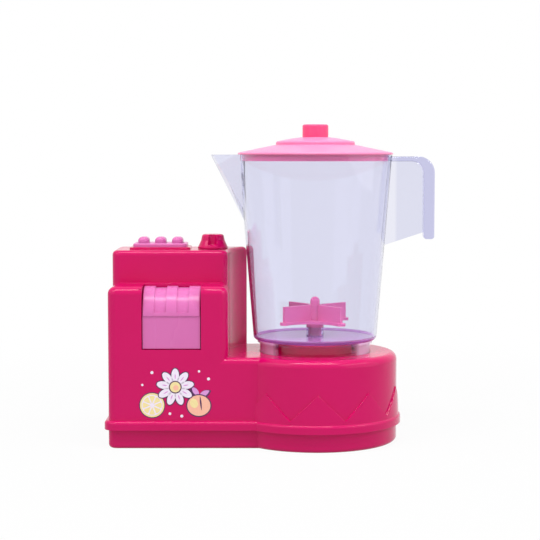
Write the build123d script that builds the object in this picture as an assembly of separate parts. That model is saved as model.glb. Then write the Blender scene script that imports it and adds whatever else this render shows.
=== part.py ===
"""Battery-driven toy blender, as the separate pieces that it is assembled from.

Units are millimetres. +Z is up, +X points to the jar's handle and +Y to the back.
The origin is on the surface that the toy stands on, under the jar's axis.
"""
from build123d import *
import math
import os

# --- housing: a slab with a drum at one end and a stepped tower at the other --------------
WALL = 2.2                 # moulded wall of the housing and the tray
DRUM_R = 55.4              # outer radius of the round drum under the jar
SLAB_HALF = 39.8           # half the depth of the slab and the tower
DECK_Z = 60.0              # top of the drum and the slab
SEAM_Z = 12.5              # parting line between the housing and the tray
FRONT_TIER_H = 46.7
STEP_Z = DECK_Z + FRONT_TIER_H     # top of the front tier
STEP_Y = -8.0              # front face of the upper tier
UPPER_TIER_H = 21.8
ROOF_Z = STEP_Z + UPPER_TIER_H     # top of the upper tier
BAY_R = 59.0               # hollowed side of the tower, round the jar
TOWER_W = 78.0             # from the bay to the tower's outer left side
SLAB_LEFT = -BAY_R - TOWER_W
TOWER_PAST_BAY = 1.0
TOWER_RIGHT = TOWER_PAST_BAY - BAY_R  # right side of the tower's front tier
SIDE_CORNER = 6.0          # upright corners of the slab and the tower
DECK_ROUND = 4.0           # rounding round the deck's edge
STEP_ROUND = 5.0           # rounding round the front tier's top
ROOF_ROUND = 3.2           # rounding round the roof's edge
TRAY_ROUND = 2.6           # rounding round the tray's bottom edge
LIP_OUT = 2.7              # how far the belt line stands out
LIP_H = 6.0                # height of the belt line
LIP_ROUND = 2.2
DRUM_ROUND = 5.0           # rounding round the drum's top
HORN_CORNER = 3.0          # upright corner between the bay and the back
LEAST_CORNER = 0.6         # no hollow corner is tighter than this

# --- raised zigzag round the drum ---------------------------------------------------------
ZIGZAG_PITCH = 37.0        # degrees from one peak to the next
ZIGZAG_FIRST = -36.5       # degrees from the front, towards the handle
ZIGZAG_COUNT = 8
ZIGZAG_PEAK_H = 19.1
ZIGZAG_PEAK_Z = SEAM_Z + LIP_H + ZIGZAG_PEAK_H
ZIGZAG_VALLEY_H = 1.9
ZIGZAG_VALLEY_Z = SEAM_Z + LIP_H + ZIGZAG_VALLEY_H
ZIGZAG_TOP_OUT = 0.7      # relief at a peak
ZIGZAG_FOOT_OUT = 1.6      # relief at the belt line
ZIGZAG_INTO_SLAB = 0.4     # the end triangles stop this far inside the slab

# --- jar seat on the drum -----------------------------------------------------------------
SEAT_DEPTH = 1.5           # the foot ring stands this far below the deck
SEAT_GAP = 0.3
SEAT_FLOOR = 2.4           # thickness of the seat's floor
SEAT_RIM = 3.2             # thickness round the seat, under the deck
BOSS_R = 25.0
BOSS_H = 8.0
BOSS_Z = DECK_Z - SEAT_DEPTH + BOSS_H
BOSS_ROUND = 1.2
COUPLING_R = 7.5
COUPLING_GAP = 1.0
WELL_R = COUPLING_R + COUPLING_GAP  # bore that the two couplings meet in
WELL_WALL = 2.0
WELL_DEPTH = 18.5
WELL_FLOOR_Z = BOSS_Z - WELL_DEPTH   # underside of the upper bearing
BEARING_T = 2.0
RUN_GAP = 0.05             # radial running clearance of every journal
LOOSE = 0.3                # clearance between pieces that only pass each other
HAIR = 0.02                # radial room of a pressed or glued round joint
END_GAP = 0.1              # room at the end of a piece that is held there
PAST = 1.0                 # a cut runs this far past the face that it opens

# --- jar ------------------------------------------------------------------------------------
FOOT_H = 9.5               # height of the foot ring, under the jar's floor
JAR_FLOOR_T = 2.0
JAR_FLOOR_Z = DECK_Z - SEAT_DEPTH + FOOT_H + JAR_FLOOR_T
JAR_DEPTH = 122.8
JAR_RIM_Z = JAR_FLOOR_Z + JAR_DEPTH
JAR_WALL = 1.8
JAR_TOP_R = 51.8
JAR_BOTTOM_R = 41.8
JAR_HEEL = 3.0             # rounding under the jar's wall
FOOT_R = 37.4
FOOT_WALL = 2.0
FOOT_FLANGE_OUT = 1.6
FOOT_FLANGE_R = FOOT_R + FOOT_FLANGE_OUT
FOOT_FLANGE_T = 1.5
SHAFT_R = 4.4              # shaft through the jar's floor
TUBE_WALL = 1.5
TUBE_R = SHAFT_R + TUBE_WALL     # bearing tube that rises from the jar's floor
TUBE_H = 6.0
TUBE_Z = JAR_FLOOR_Z + TUBE_H
SPOUT_REACH = 18.7
SPOUT_TIP_X = -JAR_TOP_R - SPOUT_REACH
SPOUT_HALF_W = 15.0
SPOUT_H = 45.3
SPOUT_FOOT_Z = JAR_RIM_Z - SPOUT_H
SPOUT_WALL = 1.5
SPOUT_ROOT = 6.0           # the spout reaches this far into the jar, where the jar is hollow
SPOUT_FLARE = 1.15         # its width at that root against its width at the wall
TIP_INSET = 1.4            # how far the tip moves in for each mm of wall
SIDE_INSET = 1.15          # how far the sides do
FOOT_INSET = 3.2           # how far the foot rises
HANDLE_REACH = 28.3
HANDLE_X = JAR_TOP_R + HANDLE_REACH    # outside of the grip
HANDLE_BELOW_RIM = 1.2
HANDLE_TOP_Z = JAR_RIM_Z - HANDLE_BELOW_RIM
HANDLE_L = 55.6
HANDLE_END_Z = HANDLE_TOP_Z - HANDLE_L
HANDLE_W = 12.0            # grip's width, front to back
HANDLE_BAR = 7.2           # grip's thickness
HANDLE_BRIDGE = 3.4        # thickness of the bridge at the rim
HANDLE_TURN_R = 11.0
HANDLE_ELBOW_R = 8.0       # inside of the grip's bend
HANDLE_HEEL_R = 2.0        # rounding at the grip's lower end
HANDLE_EDGE = 1.5          # rounding along the grip
WEB_T = 2.2
WEB_JAR_DROP = 61.2
WEB_JAR_Z = JAR_RIM_Z - WEB_JAR_DROP
WEB_BAR_DROP = 52.0
WEB_BAR_Z = JAR_RIM_Z - WEB_BAR_DROP

# --- lid ------------------------------------------------------------------------------------
LID_OVERHANG = 0.4
LID_EDGE_R = JAR_TOP_R + LID_OVERHANG
LID_LEDGE = 1.3
LID_EDGE_Z = JAR_RIM_Z + LID_LEDGE   # height of the lid's thin edge
LID_SEAT_IN = 0.8
LID_SEAT_R = JAR_TOP_R - LID_SEAT_IN
LID_TIER_R = 26.6
LID_CONE_H = 5.3
LID_TIER_Z = LID_EDGE_Z + LID_CONE_H
LID_TIER_H = 1.9
LID_CROWN_H = 5.0
LID_CROWN_Z = LID_TIER_Z + LID_CROWN_H
LID_SKIRT_L = 4.2
LID_SKIRT_Z = JAR_RIM_Z - LID_SKIRT_L
LID_T = 1.8
LID_LIP = 1.2              # thickness of the lid's edge
LID_EDGE_ROUND = 0.5
LID_SLACK = 0.85           # between the skirt and the jar's wall at the rim
KNOB_R = 8.7
KNOB_H = 8.6
KNOB_TOP_Z = LID_CROWN_Z + KNOB_H
KNOB_PEG_R = 4.0
KNOB_ROUND = 1.3

# --- impeller and its drive ---------------------------------------------------------------
COUPLING_SINK = 6.5
COUPLING_TOP_Z = BOSS_Z - COUPLING_SINK
TONGUE_REACH = 2.8
TONGUE_Z = COUPLING_TOP_Z - TONGUE_REACH    # lower end of the driving tongue
TONGUE_W = 2.2
TONGUE_L = 11.0
SHAFT_GAP = 0.4
SHAFT_FOOT_Z = COUPLING_TOP_Z + SHAFT_GAP    # where the tongue widens into the shaft
COLLAR_OUT = 1.4
COLLAR_R = SHAFT_R + COLLAR_OUT
COLLAR_T = 1.3
BLADE_COUNT = 4
BLADE_TURN = 218.4         # degrees, direction of the first blade
BLADE_L = 27.0
BLADE_T = 2.2
STAR_LIFT = 3.0
STAR_Z = TUBE_Z + STAR_LIFT      # underside of the star plate below the blades
BLADE_H = 12.4
BLADE_TOP_Z = STAR_Z + BLADE_H
STAR_T = 1.9
STAR_OUT = 2.2
STAR_TIP_R = BLADE_L + STAR_OUT
STAR_TIP_W = 6.4
STAR_VALLEY_R = 10.5
HUB_R = 4.6
HUB_PIN_R = 3.2
HUB_H = 5.5
HUB_TOP_Z = BLADE_TOP_Z + HUB_H
SPIGOT_R = 2.2             # shaft's end inside the impeller's hub
MODULE = 1.0
PRESSURE_DEG = 20.0
ADDENDUM = 0.9
DEDENDUM = 1.2
GEAR_TEETH = 36
PINION_TEETH = 12
BACKLASH = 0.22
GEAR_DROP = 9.0
GEAR_Z = WELL_FLOOR_Z - GEAR_DROP
GEAR_T = 5.0
PINION_OVERLAP = 0.5       # the pinion is this much longer than the gear at each end
GEAR_SHAFT_R = 3.0
GEAR_HUB_R = 5.2
GEAR_RIM = 3.6             # from the pitch circle in to the gear's thin web
GEAR_DISH = 1.6            # depth of the hollow on each face of the gear
GEAR_HUB_WALL = 1.5        # the hub's collar inside that hollow
SLOT_PLAY = 0.7
COUPLING_SLOT_W = TONGUE_W + SLOT_PLAY
COUPLING_CAP = 4.0         # from the shaft's end to the top of the cup
COUPLING_ROOM = 0.4        # below the tongue
BRACKET_DROP = 8.0
BRACKET_Z = GEAR_Z - BRACKET_DROP
BRACKET_T = 2.5
MOTOR_W = 20.0
MOTOR_FLAT = 15.0
MOTOR_L = 25.0
MOTOR_SHAFT_R = 1.0
MOTOR_SHAFT_DEPTH = 2.8    # inside the can
MOTOR_BOSS_R = 3.0         # round boss that centres the motor in the bracket
MOTOR_TAIL_R = 3.4
MOTOR_TAIL = 1.5
TERMINAL_X = 6.0
TERMINAL_W = 2.4
TERMINAL_T = 0.5
TERMINAL_L = 2.2
POCKET_WALL = 1.5
POCKET_DEPTH = 7.0
POCKET_GAP = 0.1
PLATE_EDGE = 4.5           # from a post's middle to the bracket's edge
PLATE_NEAR = 12.0          # how far the bracket reaches to the tower's side
PLATE_W = 26.0             # of the bracket's arm along X
PLATE_ARM_W = 18.0         # of its arm along Y
PLATE_CORNER = 4.0
BRACKET_POSTS = [(0.0, 26.5), (0.0, -26.5), (41.0, 0.0)]

# --- fasteners ------------------------------------------------------------------------------
POST_R = 4.0
SCREW_R = 1.4
SCREW_HEAD_R = 2.8
SCREW_HEAD_T = 1.9
SCREW_REACH = 10.0
TRAY_BOSS_DROP = 6.5
TRAY_BOSS_Z = SEAM_Z - TRAY_BOSS_DROP
TRAY_SCREW_SINK = 1.4      # from the tray's underside to a screw's head
PILOT_SPARE = 1.5          # the screw holes are this much deeper than the screws
HEAD_ROUND = 0.6
CROSS_L = 3.2              # length, width and depth of the cross in a screw's head
CROSS_W = 0.6
CROSS_DEPTH = 0.7
POST_IN = 6.6              # from the outside of the walls to a post's middle
POST_FROM_BAY = 12.0       # from the tower's right side to its nearer posts
DRUM_POST_IN = 10.2        # from the outside of the drum to its posts
DRUM_POST_DEG = 58.0       # their direction, from the handle
POST_STEM_R = 5.0          # the posts are stouter above the seam, where they join the walls
DOOR_SCREW = 0.8           # the door's screw against the housing's screws
DOOR_SCREW_SINK = 0.2
DOOR_SCREW_TOP_Z = 6.6

# --- rocker switch on the tower's front ---------------------------------------------------
ROCKER_FROM_LEFT = 41.9
ROCKER_X = SLAB_LEFT + ROCKER_FROM_LEFT
ROCKER_W = 37.8
ROCKER_GAP = 0.45          # between the rocker's sides and its slot
ROCKER_R = 18.3            # the rocker's round top turns about its axle
ROCKER_INSET = 0.8
PIVOT_Y = ROCKER_INSET - SLAB_HALF + ROCKER_R
ROCKER_SUNK = 0.9          # its highest point, below the front tier's top
PIVOT_Z = STEP_Z - ROCKER_SUNK - ROCKER_R
ROCKER_T = 2.2
ROCKER_BACK_DEG = 74.5     # where the round top ends, behind the highest point
ROCKER_STEP = 0.4          # the flat front stands back by this much
ROCKER_DROP = 21.4
ROCKER_FOOT_Z = PIVOT_Z - ROCKER_DROP
ROCKER_ROUND = 0.9         # rounding of the round top's side edges
SLOT_BELOW = 0.5
SLOT_SWING = 0.4           # round the arc that the rocker's foot swings in
SLOT_FOOT_Z = ROCKER_FOOT_Z - SLOT_BELOW
SLOT_BEHIND = 5.6
SLOT_BACK_Y = PIVOT_Y + SLOT_BEHIND
AXLE_R = 2.0
CHEEK_T = 2.0
GRIP_OFFSET = 7.4          # finger grooves, left and right of the rocker's middle
GRIP_W = 7.9
GRIP_DEPTH = 1.0
GRIP_FROM_DEG = 60.0       # the grooves run over the top to the rocker's back end
GRIP_TO_DEG = 172.5
AXLE_EYE_R = 4.4           # round the axle, in the rocker's side webs
TOE_RISE = 6.0             # slope of the side webs' lower ends
BAR_FRONT = 13.0           # cross bar, from the axle forwards
BAR_BACK = 2.6
BAR_DROP = 4.6             # underside of the cross bar, below the axle's centre
BAR_T = 2.0
SHELF_FRONT = 11.5
SHELF_Y = PIVOT_Y - SHELF_FRONT
SHELF_D = 13.0
SHELF_RISE = 1.9
SHELF_Z = ROCKER_FOOT_Z + SHELF_RISE
SWITCH_OFFSET = 11.0
SWITCH_W = 8.0
SWITCH_L = 8.5
SWITCH_H = 7.0
SWITCH_IN = 1.5            # from the shelf's front edge to the switch
PIN_OFFSET = 2.0
PIN_W = 0.8
PIN_T = 0.6
PIN_L = 2.5
PIN_RISE = 3.0
PLUNGER_R = 1.3
PLUNGER_RISE = 5.5
PLUNGER_Z = SHELF_Z + PLUNGER_RISE
PLUNGER_TRAVEL = 2.1
PLUNGER_INSIDE = 4.4       # inside the switch at rest
PLUNGER_ROUND = 0.8
SPRING_FRONT = 8.0
SPRING_Y = PIVOT_Y - SPRING_FRONT
SPRING_R = 3.0
SPRING_WIRE_R = 0.35
SPRING_TURNS = 6

# --- buttons, dial ----------------------------------------------------------------------------
PANEL_FROM_LEFT = 31.5
PANEL_X = SLAB_LEFT + PANEL_FROM_LEFT
PANEL_Y = 16.0
PANEL_W = 41.4
PANEL_D = 28.0
PLINTH_H = 1.5             # raised edge of the roof round the panel
PLINTH_ROUND = 0.7
PANEL_TOP_T = 2.5
PANEL_STEP = 2.4           # margin between the plinth's edge and the panel's edge
PANEL_CORNER = 4.0
PANEL_ROUND = 1.0
WINDOW_GAP = 0.8           # between a button's flange and the roof's window
BUTTON_COUNT = 3
BUTTON_PITCH = 11.6
BUTTON_W = 7.6
BUTTON_L = 15.0
BUTTON_H = 4.0             # above the panel
BUTTON_GAP = 0.25
BUTTON_ROUND = 2.6
BUTTON_SPRING_R = 2.4
BUTTON_WIRE_R = 0.3
BUTTON_TURNS = 5
FLANGE_T = 1.5
FLANGE_OUT = 1.1
BUTTON_SPRING_L = 8.6
BOARD_T = 1.5
BOARD_Z = ROOF_Z - LOOSE - FLANGE_T - BUTTON_SPRING_L - END_GAP - BOARD_T
BOARD_POST_R = 3.0
BOARD_POST_PAST = 10.4
BOARD_POST_OUT = BUTTON_PITCH + BOARD_POST_PAST
BOARD_D = 17.0
BOARD_SCREW_R = 1.0
BOARD_SCREW_REACH = 6.0
DIAL_FROM_LEFT = 67.2
DIAL_X = SLAB_LEFT + DIAL_FROM_LEFT
DIAL_Y = PANEL_Y
DIAL_R = 10.3
DIAL_TOP_R = 7.3
DIAL_H = 9.9
DIAL_TOP_Z = ROOF_Z + DIAL_H
DIAL_STEM_R = 3.0
DIAL_STEM_L = 7.5
DIAL_STEM_Z = ROOF_Z - DIAL_STEM_L
DIAL_LIFT = 0.2            # between the dial and the roof
DIAL_ROUND = 1.9
SCOOP_R = 2.9
SCOOP_IN = 2.0             # from the dial's rim in to the scoop's centre
SCOOP_FLOOR = 2.2
SCOOP_ROUND = 1.0
CLIP_OUT = 2.6
CLIP_R = DIAL_STEM_R + CLIP_OUT
CLIP_T = 1.4

# --- battery box --------------------------------------------------------------------------
CELL_R = 7.2
CELL_L = 50.5
CELL_NUB_R = 2.7
CELL_NUB_L = 1.2
CELL_ROUND = 0.6
CELL_GAP = 0.6             # beside and between the cells
CELL_PITCH = 2 * CELL_R + CELL_GAP
CELLS_FROM_LEFT = 28.0
CELLS_X = SLAB_LEFT + CELLS_FROM_LEFT     # middle of the pair
COIL_ROOM = 4.5            # for a coil contact at a cell's flat end
CONTACT_T = 0.4
DOOR_T = 2.0
DOOR_GAP = 0.25
CELL_LIFT = 0.8
CELL_Z = DOOR_T + CELL_LIFT + CELL_R
BOX_HALF_W = CELL_PITCH / 2 + CELL_R + CELL_GAP
BOX_HALF_L = (CELL_L + COIL_ROOM) / 2 + CONTACT_T + END_GAP
BOX_WALL = 1.6
CELL_HEADROOM = 0.4
BOX_TOP_Z = CELL_Z + CELL_R + CELL_HEADROOM
CONTACT_HALF = 4.5         # half the width of a contact plate
CONTACT_COIL_R = 3.4
CONTACT_WIRE_R = 0.35
CONTACT_TURNS = 3
TAB_W = 9.0
TAB_L = 6.6
TAB_WALL = 2.0
TAB_BOSS_Z = 8.0
TAB_SCREW_IN = 3.2         # from the tab's end to its screw
TAB_HOLE_Z = 7.0
LUG = 2.6                  # corner lugs that the door closes against
LUG_T = 1.5
RIB_COUNT = 7              # finger grooves in the door
RIB_PITCH = 2.6
RIB_W = 1.1
RIB_DEPTH = 0.5
RIB_END = 5.0
RIB_SIDE = 8.0


def span(x0, x1, y0, y1, z0, z1):
    """A box between two corners."""
    middle = Pos((x0 + x1) / 2, (y0 + y1) / 2, (z0 + z1) / 2)
    return middle * Box(x1 - x0, y1 - y0, z1 - z0)


def rod(radius, z0, z1, x=0.0, y=0.0):
    """An upright cylinder."""
    return Pos(x, y, (z0 + z1) / 2) * Cylinder(radius, z1 - z0)


def ring(outer, inner, z0, z1, x=0.0, y=0.0):
    """An upright tube. The bore runs past both ends."""
    return rod(outer, z0, z1, x, y) - rod(inner, z0 - PAST, z1 + PAST, x, y)


def cross_rod(radius, x0, x1, y, z):
    """A cylinder along X."""
    return Pos((x0 + x1) / 2, y, z) * Rot(0, 90, 0) * Cylinder(radius, x1 - x0)


def depth_rod(radius, y0, y1, x, z):
    """A cylinder along Y."""
    return Pos(x, (y0 + y1) / 2, z) * Rot(90, 0, 0) * Cylinder(radius, y1 - y0)


def lathe(points):
    """A solid of revolution about Z from (radius, height) points."""
    profile = make_face(Polyline(*[(r, 0, z) for r, z in points], close=True))
    return revolve(profile, Axis.Z)


def prism(plan, z0, z1):
    """A plan extruded between two heights."""
    return Pos(0, 0, z0) * extrude(plan, z1 - z0)


def top_rounded(solid, radius):
    """The edge round the highest face, rounded."""
    return fillet(solid.faces().sort_by(Axis.Z)[-1].edges(), radius)


def foot_rounded(solid, radius):
    """The edge round the lowest face, rounded."""
    return fillet(solid.faces().sort_by(Axis.Z)[0].edges(), radius)


def coil(radius, wire_r, length, turns):
    """A compression spring that stands on z = 0, with its wire inside the given length."""
    rise = length - 2 * wire_r
    path = Helix(pitch=rise / turns, height=rise, radius=radius)
    wire = sweep(Plane(path @ 0, z_dir=path % 0) * Circle(wire_r), path=path)
    return Pos(0, 0, wire_r) * wire


# --- outlines of the housing -----------------------------------------------------------------
def slab_plan(grow):
    """Plan of the slab, grown by a margin. Its right end lies inside the drum."""
    length = -SLAB_LEFT + grow
    width = 2 * (SLAB_HALF + grow)
    return Pos(-length / 2, 0) * RectangleRounded(length, width, SIDE_CORNER + grow)


def front_tier_plan(grow):
    """Plan of the tower's front tier, which runs back under the upper tier."""
    back = STEP_Y + 3 * SIDE_CORNER
    width = TOWER_RIGHT - SLAB_LEFT + 2 * grow
    depth = back + SLAB_HALF + 2 * grow
    middle = Pos((TOWER_RIGHT + SLAB_LEFT) / 2, (back - SLAB_HALF) / 2)
    return middle * RectangleRounded(width, depth, SIDE_CORNER + grow) - Circle(BAY_R - grow)


def upper_tier_plan(grow):
    """Plan of the upper tier, hollowed on the right round the jar's axis."""
    horn_x = -math.sqrt((BAY_R - grow) ** 2 - (SLAB_HALF + grow) ** 2)
    x0 = SLAB_LEFT - grow
    y0 = STEP_Y - grow
    y1 = SLAB_HALF + grow
    full = Pos((x0 + horn_x) / 2, (y0 + y1) / 2) * Rectangle(horn_x - x0, y1 - y0)
    plan = full - Circle(BAY_R - grow)
    left = plan.vertices().filter_by(lambda v: abs(v.X - x0) < 0.01)
    plan = fillet(left, SIDE_CORNER + grow)
    horn = plan.vertices().filter_by(lambda v: abs(v.Y - y1) < 0.01).sort_by(Axis.X)[-1:]
    plan = fillet(horn, max(HORN_CORNER + grow, LEAST_CORNER))
    front = plan.vertices().filter_by(lambda v: abs(v.Y - y0) < 0.01).sort_by(Axis.X)[-1:]
    return fillet(front, SIDE_CORNER - 1.0 + grow)


def case_body(grow, z0):
    """Drum, slab and tower as one block, grown by a margin (negative for the hollow)."""
    drum = top_rounded(rod(DRUM_R + grow, z0, DECK_Z + grow), DRUM_ROUND + grow)
    slab = top_rounded(prism(slab_plan(grow), z0, DECK_Z + grow), DECK_ROUND + grow)
    front = top_rounded(prism(front_tier_plan(grow), z0, STEP_Z + grow), STEP_ROUND + grow)
    upper = top_rounded(prism(upper_tier_plan(grow), z0, ROOF_Z + grow), ROOF_ROUND + grow)
    return drum + slab + front + upper


def belt_line():
    """The rounded band round the housing's lower edge."""
    z1 = SEAM_Z + LIP_H
    drum = rod(DRUM_R + LIP_OUT, SEAM_Z, z1)
    slab = prism(slab_plan(LIP_OUT), SEAM_Z, z1)
    return top_rounded(drum, LIP_ROUND) + top_rounded(slab, LIP_ROUND)


def zigzag():
    """Raised triangles round the drum, deeper at the belt line than at the peaks."""
    foot_z = SEAM_Z + LIP_H / 2
    height = ZIGZAG_PEAK_Z + PAST - foot_z
    cone = Cone(DRUM_R + ZIGZAG_FOOT_OUT, DRUM_R + ZIGZAG_TOP_OUT, height)
    band = Pos(0, 0, foot_z + height / 2) * cone - rod(DRUM_R - WALL / 2, 0, DECK_Z)
    half = DRUM_R * math.sin(math.radians(ZIGZAG_PITCH / 2)) + ZIGZAG_INTO_SLAB
    outline = Polyline(
        (-half, foot_z),
        (half, foot_z),
        (half, ZIGZAG_VALLEY_Z),
        (0, ZIGZAG_PEAK_Z),
        (-half, ZIGZAG_VALLEY_Z),
        close=True,
    )
    wedge = extrude(Plane.XZ * make_face(outline), DRUM_R + LIP_OUT)
    peaks = []
    for number in range(ZIGZAG_COUNT):
        turn = ZIGZAG_FIRST + number * ZIGZAG_PITCH
        peaks.append(band & (Rot(0, 0, turn) * wedge))
    half_slab = SLAB_HALF - ZIGZAG_INTO_SLAB
    clear_of_slab = span(SLAB_LEFT, 0, -half_slab, half_slab, 0, DECK_Z)
    return [peak - clear_of_slab for peak in peaks]


# --- housing and tray --------------------------------------------------------------------------
def case_posts():
    """Middles of the six posts that the tray is screwed to."""
    side = SLAB_HALF - POST_IN
    turn = math.radians(DRUM_POST_DEG)
    out = DRUM_R - DRUM_POST_IN
    posts = []
    for way in (-1, 1):
        posts.append((SLAB_LEFT + POST_IN, way * side))
        posts.append((TOWER_RIGHT - POST_FROM_BAY, way * side))
        posts.append((out * math.cos(turn), way * out * math.sin(turn)))
    return posts


def seat_floor_z():
    """Height that the jar's foot ring stands on."""
    return DECK_Z - SEAT_DEPTH


def upper_housing():
    """The one-piece upper shell: drum, slab, tower, jar seat, bearing well and posts."""
    shell = case_body(0, SEAM_Z) + belt_line() + zigzag()
    shell -= case_body(-WALL, SEAM_Z - PAST)
    # jar seat: a shallow round recess with a boss, and the bearing well under the boss
    under_seat = seat_floor_z() - SEAT_FLOOR
    shell += rod(FOOT_R + SEAT_RIM, under_seat, DECK_Z - WALL)
    shell -= rod(FOOT_R + SEAT_GAP, seat_floor_z(), DECK_Z + PAST)
    shell += top_rounded(rod(BOSS_R, under_seat, BOSS_Z), BOSS_ROUND)
    shell -= rod(BOSS_R - WALL, under_seat - PAST, BOSS_Z - WALL)
    shell += rod(WELL_R + WELL_WALL, WELL_FLOOR_Z, BOSS_Z - WALL / 2)
    shell -= rod(WELL_R, WELL_FLOOR_Z + BEARING_T, BOSS_Z + PAST)
    shell -= rod(GEAR_SHAFT_R + RUN_GAP, WELL_FLOOR_Z - PAST, BOSS_Z)
    # posts that the tray and the gear bracket are screwed to
    for x, y in case_posts():
        shell += rod(POST_R, TRAY_BOSS_Z, DECK_Z - WALL / 2, x, y)
        shell += rod(POST_STEM_R, SEAM_Z + LOOSE, DECK_Z - WALL / 2, x, y)
        hole_top = TRAY_BOSS_Z + SCREW_REACH + PILOT_SPARE
        shell -= rod(SCREW_R + RUN_GAP, TRAY_BOSS_Z - PAST, hole_top, x, y)
    for x, y in BRACKET_POSTS:
        shell += rod(POST_R, BRACKET_Z + BRACKET_T, seat_floor_z() - SEAT_FLOOR / 4, x, y)
        hole_top = BRACKET_Z + BRACKET_T + SCREW_REACH + PILOT_SPARE
        shell -= rod(SCREW_R + RUN_GAP, BRACKET_Z, hole_top, x, y)
    shell += rocker_frame()
    shell -= rocker_slot()
    plinth = RectangleRounded(PANEL_W, PANEL_D, PANEL_CORNER)
    plinth = Pos(PANEL_X, PANEL_Y) * prism(plinth, ROOF_Z - WALL / 2, ROOF_Z + PLINTH_H)
    shell += top_rounded(plinth, PLINTH_ROUND)
    return shell + roof_posts() - roof_holes()


def rocker_frame():
    """Two cheeks that carry the rocker's axle, and the shelf under the rocker."""
    inner = ROCKER_W / 2 + ROCKER_GAP
    z1 = STEP_Z - WALL / 2
    frame = []
    for side in (-1, 1):
        x = ROCKER_X + side * (inner + CHEEK_T / 2)
        cheek = span(x - CHEEK_T / 2, x + CHEEK_T / 2, -SLAB_HALF + WALL / 2, STEP_Y, SHELF_Z, z1)
        bore = cross_rod(AXLE_R + HAIR, x - CHEEK_T, x + CHEEK_T, PIVOT_Y, PIVOT_Z)
        frame.append(cheek - bore)
    x0 = ROCKER_X - inner - CHEEK_T
    x1 = ROCKER_X + inner + CHEEK_T
    frame.append(span(x0, x1, SHELF_Y, SHELF_Y + SHELF_D, SHELF_Z, SHELF_Z + WALL))
    return frame


def rocker_slot():
    """The opening in the front tier's face and top that the rocker sits in."""
    half = ROCKER_W / 2 + ROCKER_GAP
    x0 = ROCKER_X - half
    x1 = ROCKER_X + half
    front = -SLAB_HALF - PAST
    face = span(x0, x1, front, -SLAB_HALF + WALL + 0.01, SLOT_FOOT_Z, STEP_Z + PAST)
    top = span(x0, x1, front, SLOT_BACK_Y, PIVOT_Z, STEP_Z + PAST)
    # under the foot, the wall's inner edge is hollowed along the arc that the foot swings in
    foot_out = ROCKER_R - ROCKER_STEP
    swing = Pos(PIVOT_Y, PIVOT_Z) * Circle(math.hypot(foot_out, ROCKER_DROP) + SLOT_SWING)
    swing &= box_plan(-SLAB_HALF, -SLAB_HALF + WALL + 0.01, 0, SLOT_FOOT_Z + PAST)
    return [face, top, along_x(swing, x0, x1)]


def roof_posts():
    """Two posts under the roof that the button board is screwed to."""
    posts = []
    for side in (-1, 1):
        x = PANEL_X + side * BOARD_POST_OUT
        posts.append(rod(BOARD_POST_R, BOARD_Z + BOARD_T, ROOF_Z - WALL / 2, x, PANEL_Y))
    return posts


def button_xs():
    """The buttons' positions along X."""
    first = PANEL_X - BUTTON_PITCH * (BUTTON_COUNT - 1) / 2
    return [first + number * BUTTON_PITCH for number in range(BUTTON_COUNT)]


def flange_size():
    """Width and length of the flange that keeps a button in."""
    return BUTTON_W + 2 * FLANGE_OUT, BUTTON_L + 2 * FLANGE_OUT


def window_size():
    """Width and depth of the roof's window, which the buttons' flanges fit in."""
    flange_w, flange_l = flange_size()
    width = BUTTON_PITCH * (BUTTON_COUNT - 1) + flange_w + 2 * WINDOW_GAP
    return width, flange_l + 2 * WINDOW_GAP


def roof_holes():
    """The window under the button panel, the dial's hole and the board's screw holes."""
    under = ROOF_Z - WALL - PAST
    window = prism(Rectangle(*window_size()), under, ROOF_Z + PLINTH_H + PAST)
    window = Pos(PANEL_X, PANEL_Y) * window
    holes = [window, rod(DIAL_STEM_R + RUN_GAP, under, ROOF_Z + PAST, DIAL_X, DIAL_Y)]
    for side in (-1, 1):
        x = PANEL_X + side * BOARD_POST_OUT
        hole_top = BOARD_Z + BOARD_T + BOARD_SCREW_REACH + PILOT_SPARE / 2
        holes.append(rod(BOARD_SCREW_R + RUN_GAP, BOARD_Z, hole_top, x, PANEL_Y))
    return holes


def box_ends():
    """Outer corners of the battery box: x0, x1, half length."""
    x0 = CELLS_X - BOX_HALF_W - BOX_WALL
    x1 = CELLS_X + BOX_HALF_W + BOX_WALL
    return x0, x1, BOX_HALF_L + BOX_WALL


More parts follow.
